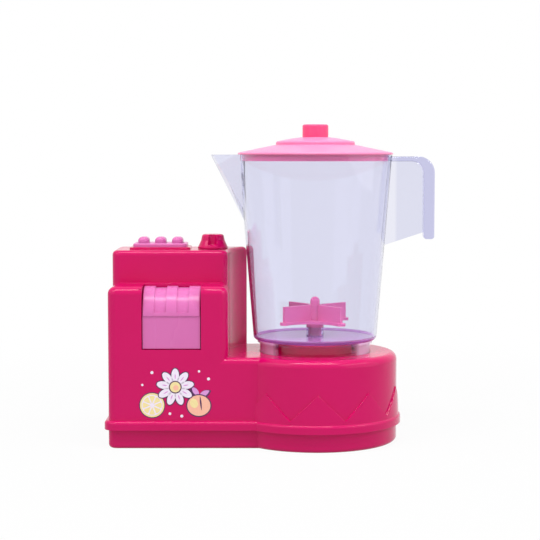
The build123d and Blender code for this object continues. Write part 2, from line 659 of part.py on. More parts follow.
def base_tray():
    """The lower shell with its screw bosses and the battery box."""
    drum = foot_rounded(rod(DRUM_R, 0, SEAM_Z), TRAY_ROUND)
    slab = foot_rounded(prism(slab_plan(0), 0, SEAM_Z), TRAY_ROUND)
    hollow_drum = rod(DRUM_R - WALL, WALL, SEAM_Z + PAST)
    hollow_slab = prism(slab_plan(-WALL), WALL, SEAM_Z + PAST)
    tray = drum + slab - hollow_drum - hollow_slab
    for x, y in case_posts():
        tray += rod(POST_R, WALL / 2, TRAY_BOSS_Z, x, y)
    x0, x1, half_l = box_ends()
    tray += span(x0, x1, -half_l, half_l, 0, BOX_TOP_Z + BOX_WALL)
    tab_x0 = CELLS_X - TAB_W / 2
    tab_x1 = CELLS_X + TAB_W / 2
    tray += span(tab_x0 - TAB_WALL, tab_x1 + TAB_WALL, half_l, half_l + TAB_L, 0, TAB_BOSS_Z)
    inner_x0 = CELLS_X - BOX_HALF_W
    inner_x1 = CELLS_X + BOX_HALF_W
    tray -= span(inner_x0, inner_x1, -BOX_HALF_L, BOX_HALF_L, -PAST, BOX_TOP_Z)
    lug_z0 = DOOR_T + END_GAP
    for side_x in (-1, 1):
        for side_y in (-1, 1):
            x = CELLS_X + side_x * (BOX_HALF_W - LUG / 2)
            y = side_y * (BOX_HALF_L - LUG / 2)
            tray += Pos(x, y, lug_z0 + LUG_T / 2) * Box(LUG, LUG, LUG_T)
    # the door's tab and its screw
    tab_end = BOX_HALF_L + TAB_L + DOOR_GAP
    tray -= span(tab_x0 - DOOR_GAP, tab_x1 + DOOR_GAP, BOX_HALF_L - PAST, tab_end, -PAST, lug_z0)
    tray -= rod(SCREW_R * DOOR_SCREW + HAIR, 0, TAB_HOLE_Z, CELLS_X, tab_screw_y())
    head_room = TRAY_SCREW_SINK + SCREW_HEAD_T + END_GAP
    for x, y in case_posts():
        tray -= rod(SCREW_HEAD_R + LOOSE, -PAST, head_room, x, y)
        tray -= rod(SCREW_R + LOOSE, 0, TRAY_BOSS_Z + PAST, x, y)
    return tray


def tab_screw_y():
    """The door screw's position along Y."""
    return BOX_HALF_L + TAB_L - TAB_SCREW_IN


def battery_door():
    """The door in the tray's floor, with the tab that its screw holds."""
    x0 = CELLS_X - BOX_HALF_W + DOOR_GAP
    x1 = CELLS_X + BOX_HALF_W - DOOR_GAP
    half_l = BOX_HALF_L - DOOR_GAP
    door = span(x0, x1, -half_l, half_l, 0, DOOR_T)
    door += span(CELLS_X - TAB_W / 2, CELLS_X + TAB_W / 2, 0, BOX_HALF_L + TAB_L, 0, DOOR_T)
    for number in range(RIB_COUNT):
        y = -half_l + RIB_END + number * RIB_PITCH
        door -= span(x0 + RIB_SIDE, x1 - RIB_SIDE, y, y + RIB_W, -PAST, RIB_DEPTH)
    door -= rod(SCREW_R * DOOR_SCREW + LOOSE, -PAST, DOOR_T + PAST, CELLS_X, tab_screw_y())
    sink = DOOR_SCREW_SINK + SCREW_HEAD_T * DOOR_SCREW
    return door - rod(SCREW_HEAD_R * DOOR_SCREW + LOOSE, -PAST, sink, CELLS_X, tab_screw_y())


def screw(head_z, shank_top_z, x, y, scale=1.0):
    """A cross-head screw that points up. head_z is the height of the head's open face."""
    seat_z = head_z + SCREW_HEAD_T * scale
    body = rod(SCREW_HEAD_R * scale, head_z, seat_z, x, y)
    body = fillet(body.edges().sort_by(Axis.Z)[:1], HEAD_ROUND * scale)
    body += rod(SCREW_R * scale, seat_z - END_GAP, shank_top_z, x, y)
    half = CROSS_L * scale / 2
    slot = span(-half, half, -CROSS_W / 2, CROSS_W / 2, head_z - PAST, head_z + CROSS_DEPTH * scale)
    return body - Pos(x, y) * slot - Pos(x, y) * Rot(0, 0, 90) * slot


def bracket_screws():
    """The three screws that hold the gear bracket."""
    head = BRACKET_Z - SCREW_HEAD_T
    top = BRACKET_Z + BRACKET_T + SCREW_REACH
    return [screw(head, top, x, y) for x, y in BRACKET_POSTS]


def housing_screws():
    """The six screws that hold the tray to the housing."""
    top = TRAY_BOSS_Z + SCREW_REACH
    return [screw(TRAY_SCREW_SINK, top, x, y) for x, y in case_posts()]


def door_screw():
    """The small screw in the battery door's tab."""
    return screw(DOOR_SCREW_SINK, DOOR_SCREW_TOP_Z, CELLS_X, tab_screw_y(), DOOR_SCREW)


# --- battery side ------------------------------------------------------------------------------
def cell(x, way):
    """One cell along Y. way is 1 with its nub at the back and -1 with it at the front."""
    tip = way * (BOX_HALF_L - CONTACT_T - END_GAP)
    shoulder = tip - way * CELL_NUB_L
    tail = tip - way * CELL_L
    body = depth_rod(CELL_R, min(shoulder, tail), max(shoulder, tail), x, CELL_Z)
    body = fillet(body.edges().filter_by(GeomType.CIRCLE), CELL_ROUND)
    root = shoulder - way * CELL_ROUND
    return body + depth_rod(CELL_NUB_R, min(tip, root), max(tip, root), x, CELL_Z)


def cell_xs():
    """Positions of the two cells along X."""
    return [CELLS_X - CELL_PITCH / 2, CELLS_X + CELL_PITCH / 2]


def battery_springs():
    """The two coil contacts behind the cells' flat ends."""
    gap = 2 * (BOX_HALF_L - CONTACT_T - END_GAP) - CELL_L
    springs = []
    for x, way in zip(cell_xs(), (1, -1)):
        seat = way * -(BOX_HALF_L - CONTACT_T)
        turn = Rot(-90, 0, 0) if way > 0 else Rot(90, 0, 0)
        spring = coil(CONTACT_COIL_R, CONTACT_WIRE_R, gap, CONTACT_TURNS)
        springs.append(Pos(x, seat, CELL_Z) * turn * spring)
    return springs


def battery_contacts():
    """Flat contacts: a link across the front and one plate for each lead at the back."""
    y = BOX_HALF_L
    z0 = CELL_Z - CONTACT_HALF
    z1 = CELL_Z + CONTACT_HALF
    half = CELL_PITCH / 2 + CONTACT_HALF
    plates = [span(CELLS_X - half, CELLS_X + half, -y, -y + CONTACT_T, z0, z1)]
    for x in cell_xs():
        plates.append(span(x - CONTACT_HALF, x + CONTACT_HALF, y - CONTACT_T, y, z0, z1))
    return plates


# --- drive --------------------------------------------------------------------------------------
def gear_plan(teeth):
    """A spur gear's outline with involute flanks."""
    pitch_r = MODULE * teeth / 2
    base_r = pitch_r * math.cos(math.radians(PRESSURE_DEG))
    tip_r = pitch_r + ADDENDUM * MODULE
    root_r = pitch_r - DEDENDUM * MODULE
    half_tooth = (math.pi * MODULE / 2 - BACKLASH) / (2 * pitch_r)
    flank_steps = 5

    def involute(radius):
        """Turn of the flank, from the base circle out to a radius."""
        if radius <= base_r:
            return 0.0
        grow = math.sqrt((radius / base_r) ** 2 - 1)
        return grow - math.atan(grow)

    at_pitch = involute(pitch_r)
    start_r = max(base_r, root_r)
    flank = [start_r + (tip_r - start_r) * step / flank_steps for step in range(flank_steps + 1)]
    points = []
    for tooth in range(teeth):
        middle = 2 * math.pi * tooth / teeth
        low = half_tooth + at_pitch
        points.append((root_r, middle - low))
        points += [(r, middle - low + involute(r)) for r in flank]
        points += [(r, middle + low - involute(r)) for r in reversed(flank)]
        points.append((root_r, middle + low))
    spots = []
    for radius, turn in points:
        spot = (radius * math.cos(turn), radius * math.sin(turn))
        if not spots or math.dist(spot, spots[-1]) > 1e-4:
            spots.append(spot)
    return make_face(Polyline(*spots, close=True))


def pinion_x():
    """Distance between the two gears' axes."""
    return MODULE * (GEAR_TEETH + PINION_TEETH) / 2


def drive_gear():
    """The large gear with its hub and its shaft."""
    top = GEAR_Z + GEAR_T
    gear = prism(gear_plan(GEAR_TEETH), GEAR_Z, top)
    rim = MODULE * GEAR_TEETH / 2 - GEAR_RIM
    collar = GEAR_HUB_R + GEAR_HUB_WALL
    gear -= ring(rim, collar, GEAR_Z - PAST, GEAR_Z + GEAR_DISH)
    gear -= ring(rim, collar, top - GEAR_DISH, top + PAST)
    gear += rod(GEAR_HUB_R, BRACKET_Z + BRACKET_T + LOOSE, WELL_FLOOR_Z - LOOSE)
    return gear + rod(GEAR_SHAFT_R, BRACKET_Z, shaft_top_z())


def shaft_top_z():
    """Top of the drive shaft, inside the coupling."""
    return COUPLING_TOP_Z - COUPLING_CAP


def drive_coupler():
    """The slotted cup on top of the drive shaft."""
    cup = rod(COUPLING_R, WELL_FLOOR_Z + BEARING_T + LOOSE, COUPLING_TOP_Z)
    cup -= rod(GEAR_SHAFT_R + HAIR, 0, shaft_top_z() + END_GAP)
    half = COUPLING_SLOT_W / 2
    reach = COUPLING_R + PAST
    return cup - span(-half, half, -reach, reach, TONGUE_Z - COUPLING_ROOM, COUPLING_TOP_Z + PAST)


def motor():
    """A small direct-current motor, shaft up."""
    z0 = BRACKET_Z - MOTOR_L
    can = rod(MOTOR_W / 2, z0, BRACKET_Z)
    half_flat = MOTOR_FLAT / 2
    can &= span(-MOTOR_W, MOTOR_W, -half_flat, half_flat, z0 - PAST, BRACKET_Z + PAST)
    can += rod(MOTOR_BOSS_R, BRACKET_Z - PAST, BRACKET_Z + BRACKET_T)
    can += rod(MOTOR_TAIL_R, z0 - MOTOR_TAIL, z0 + PAST)
    terminal = Box(TERMINAL_T, TERMINAL_W, TERMINAL_L + PAST)
    for side in (-1, 1):
        can += Pos(side * TERMINAL_X, 0, z0 + (PAST - TERMINAL_L) / 2) * terminal
    bore_z = BRACKET_Z - MOTOR_SHAFT_DEPTH - END_GAP
    can -= rod(MOTOR_SHAFT_R + RUN_GAP, bore_z, BRACKET_Z + BRACKET_T + PAST)
    return Pos(pinion_x(), 0, 0) * can


def motor_shaft():
    """The motor's steel shaft."""
    top = GEAR_Z + GEAR_T + PINION_OVERLAP
    return rod(MOTOR_SHAFT_R, BRACKET_Z - MOTOR_SHAFT_DEPTH, top, pinion_x(), 0)


def motor_pinion():
    """The small gear on the motor's shaft. A gap between its teeth faces the large gear."""
    teeth = prism(gear_plan(PINION_TEETH), GEAR_Z - PINION_OVERLAP, GEAR_Z + GEAR_T + PINION_OVERLAP)
    half_tooth = 180 / PINION_TEETH
    pinion = Pos(pinion_x(), 0, 0) * Rot(0, 0, 180 + half_tooth) * teeth
    return pinion - rod(MOTOR_SHAFT_R + HAIR, 0, DECK_Z, pinion_x(), 0)


def gear_bracket():
    """The plate that carries the drive shaft's lower end and the motor."""
    far_x, _ = BRACKET_POSTS[-1]
    reach_x = far_x + PLATE_EDGE
    _, side_y = BRACKET_POSTS[0]
    arm_x = Pos((reach_x - PLATE_NEAR) / 2, 0)
    plan = arm_x * RectangleRounded(reach_x + PLATE_NEAR, PLATE_W, PLATE_CORNER)
    plan += RectangleRounded(PLATE_ARM_W, 2 * (side_y + PLATE_EDGE), PLATE_CORNER)
    plate = prism(plan, BRACKET_Z, BRACKET_Z + BRACKET_T)
    x = pinion_x()
    width = MOTOR_W + 2 * POCKET_GAP
    depth = MOTOR_FLAT + 2 * POCKET_GAP
    walls = Pos(x, 0) * Rectangle(width + 2 * POCKET_WALL, depth + 2 * POCKET_WALL)
    plate += prism(walls, BRACKET_Z - POCKET_DEPTH, BRACKET_Z + BRACKET_T / 2)
    plate -= prism(Pos(x, 0) * Rectangle(width, depth), 0, BRACKET_Z)
    plate -= rod(GEAR_SHAFT_R + RUN_GAP, 0, DECK_Z)
    plate -= rod(MOTOR_BOSS_R + HAIR, 0, DECK_Z, x, 0)
    for post_x, post_y in BRACKET_POSTS:
        plate -= rod(SCREW_R + LOOSE, 0, DECK_Z, post_x, post_y)
    return plate


# --- jar -----------------------------------------------------------------------------------------
def jar_outer_r(z):
    """Outer radius of the jar's wall at a height."""
    share = (z - JAR_FLOOR_Z) / (JAR_RIM_Z - JAR_FLOOR_Z)
    return JAR_BOTTOM_R + (JAR_TOP_R - JAR_BOTTOM_R) * share


def spout_wedge(inset, extra):
    """The spout as a solid wedge. inset moves its faces in, extra runs it past the rim."""
    foot_z = SPOUT_FOOT_Z + FOOT_INSET * inset
    wall_x = -jar_outer_r(SPOUT_FOOT_Z)
    root_x = wall_x + SPOUT_ROOT
    tip_x = SPOUT_TIP_X + TIP_INSET * inset
    half_w = (SPOUT_HALF_W - SIDE_INSET * inset) * SPOUT_FLARE
    top = make_face(Polyline((tip_x, 0), (root_x, -half_w), (root_x, half_w), close=True))
    toe_x = wall_x + 0.5 + inset
    toe = make_face(Polyline((toe_x, 0), (root_x, -0.6), (root_x, 0.6), close=True))
    wedge = loft([Pos(0, 0, foot_z) * toe, Pos(0, 0, JAR_RIM_Z) * top], ruled=True)
    if extra:
        wedge += prism(top, JAR_RIM_Z - 0.01, JAR_RIM_Z + extra)
    return wedge


def jar_handle():
    """The grip, its bridge at the rim and the flat web between grip and jar."""
    inner_x = HANDLE_X - HANDLE_BAR
    root_x = JAR_TOP_R - JAR_WALL / 2
    outer = make_face(
        Polyline(
            (root_x, HANDLE_TOP_Z),
            (HANDLE_X, HANDLE_TOP_Z),
            (HANDLE_X, HANDLE_END_Z),
            (inner_x, HANDLE_END_Z),
            (inner_x, HANDLE_TOP_Z - HANDLE_BRIDGE),
            (root_x, HANDLE_TOP_Z - HANDLE_BRIDGE),
            close=True,
        )
    )
    corner = outer.vertices().sort_by(lambda v: -v.X - v.Y)[:1]
    outer = fillet(corner, HANDLE_TURN_R)
    elbow = outer.vertices().sort_by(
        lambda v: abs(v.X - inner_x) + abs(v.Y - HANDLE_TOP_Z + HANDLE_BRIDGE)
    )[:1]
    outer = fillet(elbow, HANDLE_ELBOW_R)
    heel = outer.vertices().sort_by(lambda v: v.Y)[:2]
    outer = fillet(heel, HANDLE_HEEL_R)
    bar = extrude(Plane.XZ * outer, HANDLE_W / 2, both=True)
    sides = bar.faces().filter_by(Axis.Y)
    long_edges = [edge for face in sides for edge in face.edges() if edge.length > HANDLE_BRIDGE + 0.5]
    bar = fillet(long_edges, HANDLE_EDGE)
    web = make_face(
        Polyline(
            (jar_outer_r(WEB_JAR_Z) - JAR_WALL / 2, WEB_JAR_Z),
            (inner_x + PAST, WEB_BAR_Z),
            (inner_x + PAST, HANDLE_TOP_Z - PAST),
            (root_x, HANDLE_TOP_Z - PAST),
            close=True,
        )
    )
    return bar + extrude(Plane.XZ * web, WEB_T / 2, both=True)


def jar():
    """The clear jar with its spout, handle and the bearing tube in its floor."""
    under_z = JAR_FLOOR_Z - JAR_FLOOR_T
    heel_r = jar_outer_r(under_z)
    outer = lathe([(0, under_z), (heel_r, under_z), (JAR_TOP_R, JAR_RIM_Z), (0, JAR_RIM_Z)])
    outer = fillet(outer.edges().filter_by(GeomType.CIRCLE).sort_by(Axis.Z)[:1], JAR_HEEL)
    inner_r = jar_outer_r(JAR_FLOOR_Z) - JAR_WALL
    past = 5.0
    inner = lathe(
        [
            (0, JAR_FLOOR_Z),
            (inner_r, JAR_FLOOR_Z),
            (jar_outer_r(JAR_RIM_Z + past) - JAR_WALL, JAR_RIM_Z + past),
            (0, JAR_RIM_Z + past),
        ]
    )
    inner = fillet(inner.edges().filter_by(GeomType.CIRCLE).sort_by(Axis.Z)[:1], JAR_HEEL - JAR_WALL)
    body = outer + spout_wedge(0, 0) + jar_handle()
    body -= inner
    body -= spout_wedge(SPOUT_WALL, past)
    body += rod(TUBE_R, JAR_FLOOR_Z - PAST, TUBE_Z)
    return body - rod(SHAFT_R + RUN_GAP, 0, TUBE_Z + PAST)


def jar_foot():
    """The clear ring under the jar's floor that stands in the housing's seat."""
    top = JAR_FLOOR_Z - JAR_FLOOR_T
    foot = ring(FOOT_R, FOOT_R - FOOT_WALL, seat_floor_z(), top)
    flange = ring(FOOT_FLANGE_R, FOOT_R - FOOT_WALL - PAST, top - FOOT_FLANGE_T, top)
    return foot + flange


def impeller_shaft():
    """The shaft through the jar's floor, with collars and the tongue at its lower end."""
    under_z = JAR_FLOOR_Z - JAR_FLOOR_T
    shaft = rod(SHAFT_R, SHAFT_FOOT_Z, STAR_Z)
    half_w = TONGUE_W / 2
    half_l = TONGUE_L / 2
    shaft += span(-half_w, half_w, -half_l, half_l, TONGUE_Z, SHAFT_FOOT_Z + 0.6)
    shaft += rod(COLLAR_R, TUBE_Z + 0.2, STAR_Z)
    shaft += rod(COLLAR_R, under_z - COLLAR_T - 0.2, under_z - 0.2)
    return shaft + rod(SPIGOT_R, STAR_Z - 1, BLADE_TOP_Z - 2)


def star_plan():
    """A plate with one broad point under each blade and hollow edges between them."""
    edges = []
    step = 2 * math.pi / BLADE_COUNT
    half = STAR_TIP_W / 2

    def place(along, across, turn):
        """A point in a blade's own directions, turned into the plan."""
        x = along * math.cos(turn) - across * math.sin(turn)
        y = along * math.sin(turn) + across * math.cos(turn)
        return (x, y)

    for number in range(BLADE_COUNT):
        turn = number * step
        right = place(STAR_TIP_R - 1.6, -half, turn)
        tip = place(STAR_TIP_R, 0, turn)
        left = place(STAR_TIP_R - 1.6, half, turn)
        valley = place(STAR_VALLEY_R, 0, turn + step / 2)
        following = place(STAR_TIP_R - 1.6, -half, turn + step)
        edges.append(ThreePointArc(right, tip, left))
        edges.append(ThreePointArc(left, valley, following))
    return make_face(edges)


def impeller():
    """Blades on a star plate, with a round-topped hub."""
    body = prism(star_plan(), STAR_Z, STAR_Z + STAR_T)
    for number in range(BLADE_COUNT):
        turn = Rot(0, 0, number * 360 / BLADE_COUNT)
        body += turn * span(0, BLADE_L, -BLADE_T / 2, BLADE_T / 2, STAR_Z, BLADE_TOP_Z)
    body += rod(HUB_R, STAR_Z, BLADE_TOP_Z)
    body += rod(HUB_PIN_R, STAR_Z, HUB_TOP_Z - HUB_PIN_R)
    body += Pos(0, 0, HUB_TOP_Z - HUB_PIN_R) * Sphere(HUB_PIN_R)
    body -= rod(SPIGOT_R + HAIR, 0, BLADE_TOP_Z - 1.8)
    return Rot(0, 0, BLADE_TURN) * body


# --- lid -------------------------------------------------------------------------------------------
def lid():
    """The shallow cone with its raised tier, its thin edge and the skirt inside the jar."""
    skirt_r = JAR_TOP_R - JAR_WALL - LID_SLACK
    inner_r = skirt_r - LID_T
    tier_top = LID_TIER_Z + LID_TIER_H
    return lathe(
        [
            (KNOB_PEG_R + HAIR, LID_CROWN_Z),
            (KNOB_R + 1, LID_CROWN_Z),
            (LID_TIER_R * 0.62, LID_CROWN_Z - 0.9),
            (LID_TIER_R - 0.9, tier_top + 0.5),
            (LID_TIER_R, tier_top - 0.4),
            (LID_TIER_R, LID_TIER_Z),
            (LID_EDGE_R - LID_EDGE_ROUND, LID_EDGE_Z + LID_EDGE_ROUND / 5),
            (LID_EDGE_R, LID_EDGE_Z - LID_EDGE_ROUND),
            (LID_EDGE_R, LID_EDGE_Z - LID_LIP),
            (LID_SEAT_R, LID_EDGE_Z - LID_LIP),
            (LID_SEAT_R, JAR_RIM_Z),
            (skirt_r, JAR_RIM_Z),
            (skirt_r - 0.3, LID_SKIRT_Z),
            (inner_r, LID_SKIRT_Z),
            (inner_r, JAR_RIM_Z - 0.3),
            (LID_TIER_R - 2, LID_TIER_Z - LID_T),
            (LID_TIER_R - 2, tier_top - LID_T),
            (KNOB_PEG_R + HAIR, LID_CROWN_Z - LID_T - 0.6),
        ]
    )


def lid_knob():
    """The round knob, with a peg pressed through the lid."""
    knob = top_rounded(rod(KNOB_R, LID_CROWN_Z, KNOB_TOP_Z), KNOB_ROUND)
    return knob + rod(KNOB_PEG_R, LID_CROWN_Z - LID_T - KNOB_ROUND, LID_CROWN_Z + PAST)


# --- rocker ------------------------------------------------------------------------------------------
def sector(radius, from_deg, to_deg):
    """A pie slice in the (Y, Z) plane about the rocker's axle."""
    steps = [math.radians(from_deg), math.radians((from_deg + to_deg) / 2), math.radians(to_deg)]
    spots = [(PIVOT_Y + radius * math.cos(a), PIVOT_Z + radius * math.sin(a)) for a in steps]
    arc = ThreePointArc(*spots)
    centre = (PIVOT_Y, PIVOT_Z)
    return make_face([Line(centre, spots[0]), arc, Line(spots[-1], centre)])


def along_x(plan, x0, x1):
    """A (Y, Z) outline extruded along X."""
    return Pos(x0, 0, 0) * extrude(Plane.YZ * plan, x1 - x0)


def box_plan(y0, y1, z0, z1):
    """A rectangle in the (Y, Z) plane."""
    return Pos((y0 + y1) / 2, (z0 + z1) / 2) * Rectangle(y1 - y0, z1 - z0)


def rocker():
    """The rocker: a round top with two finger grooves, a flat front and two side webs."""
    x0 = ROCKER_X - ROCKER_W / 2
    x1 = ROCKER_X + ROCKER_W / 2
    front_y = PIVOT_Y - ROCKER_R
    flat_y = front_y + ROCKER_STEP
    top = along_x(sector(ROCKER_R, ROCKER_BACK_DEG, 180), x0, x1)
    top = fillet(top.edges().filter_by(GeomType.CIRCLE), ROCKER_ROUND)
    flat = along_x(box_plan(flat_y, PIVOT_Y, ROCKER_FOOT_Z, PIVOT_Z), x0, x1)
    body = top + flat
    inside_x0 = x0 + CHEEK_T
    inside_x1 = x1 - CHEEK_T
    hollow = along_x(sector(ROCKER_R - ROCKER_T, 0, 180), inside_x0, inside_x1)
    well = box_plan(flat_y + ROCKER_T, PIVOT_Y + PAST, ROCKER_FOOT_Z - PAST, PIVOT_Z + PAST)
    body -= hollow + along_x(well, inside_x0, inside_x1)
    # the side webs end short of the shelf, in a slope back to the axle
    toe = Polyline(
        (flat_y + ROCKER_T, ROCKER_FOOT_Z - PAST),
        (PIVOT_Y + PAST, ROCKER_FOOT_Z - PAST),
        (PIVOT_Y + PAST, PIVOT_Z - BAR_DROP - PAST),
        (flat_y + ROCKER_T, ROCKER_FOOT_Z + TOE_RISE),
        close=True,
    )
    body -= along_x(make_face(toe), x0 - PAST, x1 + PAST)
    for side_x in (x0, inside_x1):
        body += cross_rod(AXLE_EYE_R, side_x, side_x + CHEEK_T, PIVOT_Y, PIVOT_Z)
    bar_z = PIVOT_Z - BAR_DROP
    body += span(x0, x1, PIVOT_Y - BAR_FRONT, PIVOT_Y - BAR_BACK, bar_z, bar_z + BAR_T)
    body -= cross_rod(AXLE_R + RUN_GAP, x0 - PAST, x1 + PAST, PIVOT_Y, PIVOT_Z)
    for side in (-1, 1):
        middle = ROCKER_X + side * GRIP_OFFSET
        groove = sector(ROCKER_R + PAST, GRIP_FROM_DEG, GRIP_TO_DEG)
        groove -= Pos(PIVOT_Y, PIVOT_Z) * Circle(ROCKER_R - GRIP_DEPTH)
        body -= along_x(groove, middle - GRIP_W / 2, middle + GRIP_W / 2)
    return body


def rocker_axle():
    """The steel pin that the rocker turns on."""
    reach = ROCKER_W / 2 + ROCKER_GAP + CHEEK_T + 0.5
    return cross_rod(AXLE_R, ROCKER_X - reach, ROCKER_X + reach, PIVOT_Y, PIVOT_Z)


def rocker_spring():
    """The spring between the shelf and the rocker's cross bar."""
    foot = SHELF_Z + WALL
    length = PIVOT_Z - BAR_DROP - foot - END_GAP
    return Pos(ROCKER_X, SPRING_Y, foot) * coil(SPRING_R, SPRING_WIRE_R, length, SPRING_TURNS)


def plunger_tip_y():
    """Front end of the switch plunger, just behind the rocker's flat front."""
    return PIVOT_Y - ROCKER_R + ROCKER_STEP + ROCKER_T + LOOSE


def switch_body():
    """The push switch on the shelf."""
    x = ROCKER_X + SWITCH_OFFSET
    z0 = SHELF_Z + WALL
    y0 = SHELF_Y + SWITCH_IN
    back = y0 + SWITCH_L
    body = span(x - SWITCH_W / 2, x + SWITCH_W / 2, y0, back, z0, z0 + SWITCH_H)
    pin_y = back + (PIN_L - PAST) / 2
    for side in (-1, 1):
        pin = Box(PIN_W, PIN_L + PAST, PIN_T)
        body += Pos(x + side * PIN_OFFSET, pin_y, z0 + PIN_RISE) * pin
    bore_end = y0 + PLUNGER_INSIDE + PLUNGER_TRAVEL + LOOSE
    return body - depth_rod(PLUNGER_R + RUN_GAP, y0 - PAST, bore_end, x, PLUNGER_Z)


def switch_plunger():
    """The push switch's plunger."""
    x = ROCKER_X + SWITCH_OFFSET
    end = SHELF_Y + SWITCH_IN + PLUNGER_INSIDE
    body = depth_rod(PLUNGER_R, plunger_tip_y(), end, x, PLUNGER_Z)
    return fillet(body.edges().filter_by(GeomType.CIRCLE).sort_by(Axis.Y)[:1], PLUNGER_ROUND)


# --- buttons and dial ---------------------------------------------------------------------------
def pill(width, length):
    """A slot outline, longer along Y."""
    return Rot(0, 0, 90) * SlotOverall(length, width)


def button_panel():
    """The panel on the roof's plinth, with a plug in the window and a slot for each button."""
    z1 = ROOF_Z + PLINTH_H
    z2 = z1 + PANEL_TOP_T
    at = Pos(PANEL_X, PANEL_Y, 0)
    window_w, window_d = window_size()
    plug = at * prism(Rectangle(window_w - 2 * HAIR, window_d - 2 * HAIR), ROOF_Z, z1)
    raised_w = PANEL_W - 2 * PANEL_STEP
    raised_d = PANEL_D - 2 * PANEL_STEP
    raised = RectangleRounded(raised_w, raised_d, PANEL_CORNER - 1)
    panel = top_rounded(at * prism(raised, z1, z2), PANEL_ROUND) + plug
    slot = pill(BUTTON_W + 2 * BUTTON_GAP, BUTTON_L + 2 * BUTTON_GAP)
    for x in button_xs():
        panel -= Pos(x, PANEL_Y, 0) * prism(slot, ROOF_Z - PAST, z2 + PAST)
    return panel


def button(x):
    """One button with the flange that keeps it under the panel."""
    top = ROOF_Z + PLINTH_H + PANEL_TOP_T + BUTTON_H
    flange_top = ROOF_Z - LOOSE
    flange_w, flange_l = flange_size()
    flange_z = flange_top - FLANGE_T
    cap = top_rounded(prism(pill(BUTTON_W, BUTTON_L), flange_z, top), BUTTON_ROUND)
    flange = prism(RectangleRounded(flange_w, flange_l, FLANGE_T), flange_z, flange_top)
    return Pos(x, PANEL_Y, 0) * (cap + flange)


def button_spring(x):
    """The small spring between the board and a button's flange."""
    foot = BOARD_Z + BOARD_T
    spring = coil(BUTTON_SPRING_R, BUTTON_WIRE_R, BUTTON_SPRING_L, BUTTON_TURNS)
    return Pos(x, PANEL_Y, foot) * spring


def button_board():
    """The board under the roof that the button springs stand on."""
    half = BOARD_POST_OUT + BOARD_POST_R + 1
    plan = Pos(PANEL_X, PANEL_Y) * RectangleRounded(2 * half, BOARD_D, 2)
    board = prism(plan, BOARD_Z, BOARD_Z + BOARD_T)
    for side in (-1, 1):
        board -= rod(BOARD_SCREW_R + LOOSE, 0, ROOF_Z, PANEL_X + side * BOARD_POST_OUT, PANEL_Y)
    return board


def board_screws():
    """The two screws that hold the button board."""
    scale = BOARD_SCREW_R / SCREW_R
    head = BOARD_Z - SCREW_HEAD_T * scale
    top = BOARD_Z + BOARD_T + BOARD_SCREW_REACH
    xs = [PANEL_X - BOARD_POST_OUT, PANEL_X + BOARD_POST_OUT]
    return [screw(head, top, x, PANEL_Y, scale) for x in xs]


def dial_knob():
    """The bell-shaped dial with a finger scoop at the front and the back."""
    foot = ROOF_Z + DIAL_LIFT
    rise = DIAL_TOP_Z - foot
    knob = lathe(
        [
            (0, foot),
            (DIAL_R, foot),
            (DIAL_R, foot + 0.9),
            (DIAL_R - 0.7, foot + 0.23 * rise),
            (DIAL_R - 2.2, foot + 0.57 * rise),
            (DIAL_TOP_R, DIAL_TOP_Z),
            (0, DIAL_TOP_Z),
        ]
    )
    knob = fillet(knob.edges().filter_by(GeomType.CIRCLE).sort_by(Axis.Z)[-1:], DIAL_ROUND)
    for side in (-1, 1):
        out = side * (DIAL_R - SCOOP_IN)
        scoop = rod(SCOOP_R, foot + SCOOP_FLOOR, DIAL_TOP_Z + PAST, 0, out)
        knob -= foot_rounded(scoop, SCOOP_ROUND)
    knob += rod(DIAL_STEM_R, DIAL_STEM_Z, foot + PAST)
    return Pos(DIAL_X, DIAL_Y, 0) * knob


def dial_clip():
    """The push-on ring that keeps the dial's stem in the roof."""
    z1 = ROOF_Z - WALL - LOOSE
    return ring(CLIP_R, DIAL_STEM_R + HAIR, z1 - CLIP_T, z1, DIAL_X, DIAL_Y)


# --- all the nodes ------------------------------------------------------------------------------
def everything():
    """Every node's name with its solid, or its group of alike solids."""
    left_cell, right_cell = cell_xs()
    nodes = {
        "upper_housing": upper_housing(),
        "base_tray": base_tray(),
        "battery_door": battery_door(),
        "battery_door_screw": door_screw(),
        "housing_screws": housing_screws(),
        "battery_cell_1": cell(left_cell, 1),
        "battery_cell_2": cell(right_cell, -1),
        "battery_springs": battery_springs(),
        "battery_contacts": battery_contacts(),
        "gear_bracket": gear_bracket(),
        "bracket_screws": bracket_screws(),
        "motor": motor(),
        "motor_shaft": motor_shaft(),
        "motor_pinion": motor_pinion(),
        "drive_gear": drive_gear(),
        "drive_coupler": drive_coupler(),
        "jar": jar(),
        "jar_foot": jar_foot(),
        "impeller_shaft": impeller_shaft(),
        "impeller": impeller(),
        "lid": lid(),
        "lid_knob": lid_knob(),
        "rocker": rocker(),
        "rocker_axle": rocker_axle(),
        "rocker_spring": rocker_spring(),
        "switch_body": switch_body(),
        "switch_plunger": switch_plunger(),
        "button_panel": button_panel(),
        "button_board": button_board(),
        "board_screws": board_screws(),
        "dial_knob": dial_knob(),
        "dial_clip": dial_clip(),
    }
    for number, x in enumerate(button_xs(), start=1):
        nodes[f"button_{number}"] = button(x)
        nodes[f"button_spring_{number}"] = button_spring(x)
    return nodes


def as_shape(made):
    """One solid, or a compound of a node's separate solids."""
    parts = made if isinstance(made, list) else [made]
    solids = [solid for part in parts for solid in part.solids()]
    return solids[0] if len(solids) == 1 else Compound(children=solids)


os.makedirs("parts", exist_ok=True)
for name, made in everything().items():
    export_step(as_shape(made), f"parts/{name}.step")
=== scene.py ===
"""Looks for a toy blender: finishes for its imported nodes, and the print on its front.

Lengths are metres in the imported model's own frame: +Z is up, +X points to the jar's
handle, +Y to the back, and the origin lies under the jar's axis.
"""

import logging
import math
from dataclasses import dataclass, field
from enum import Enum

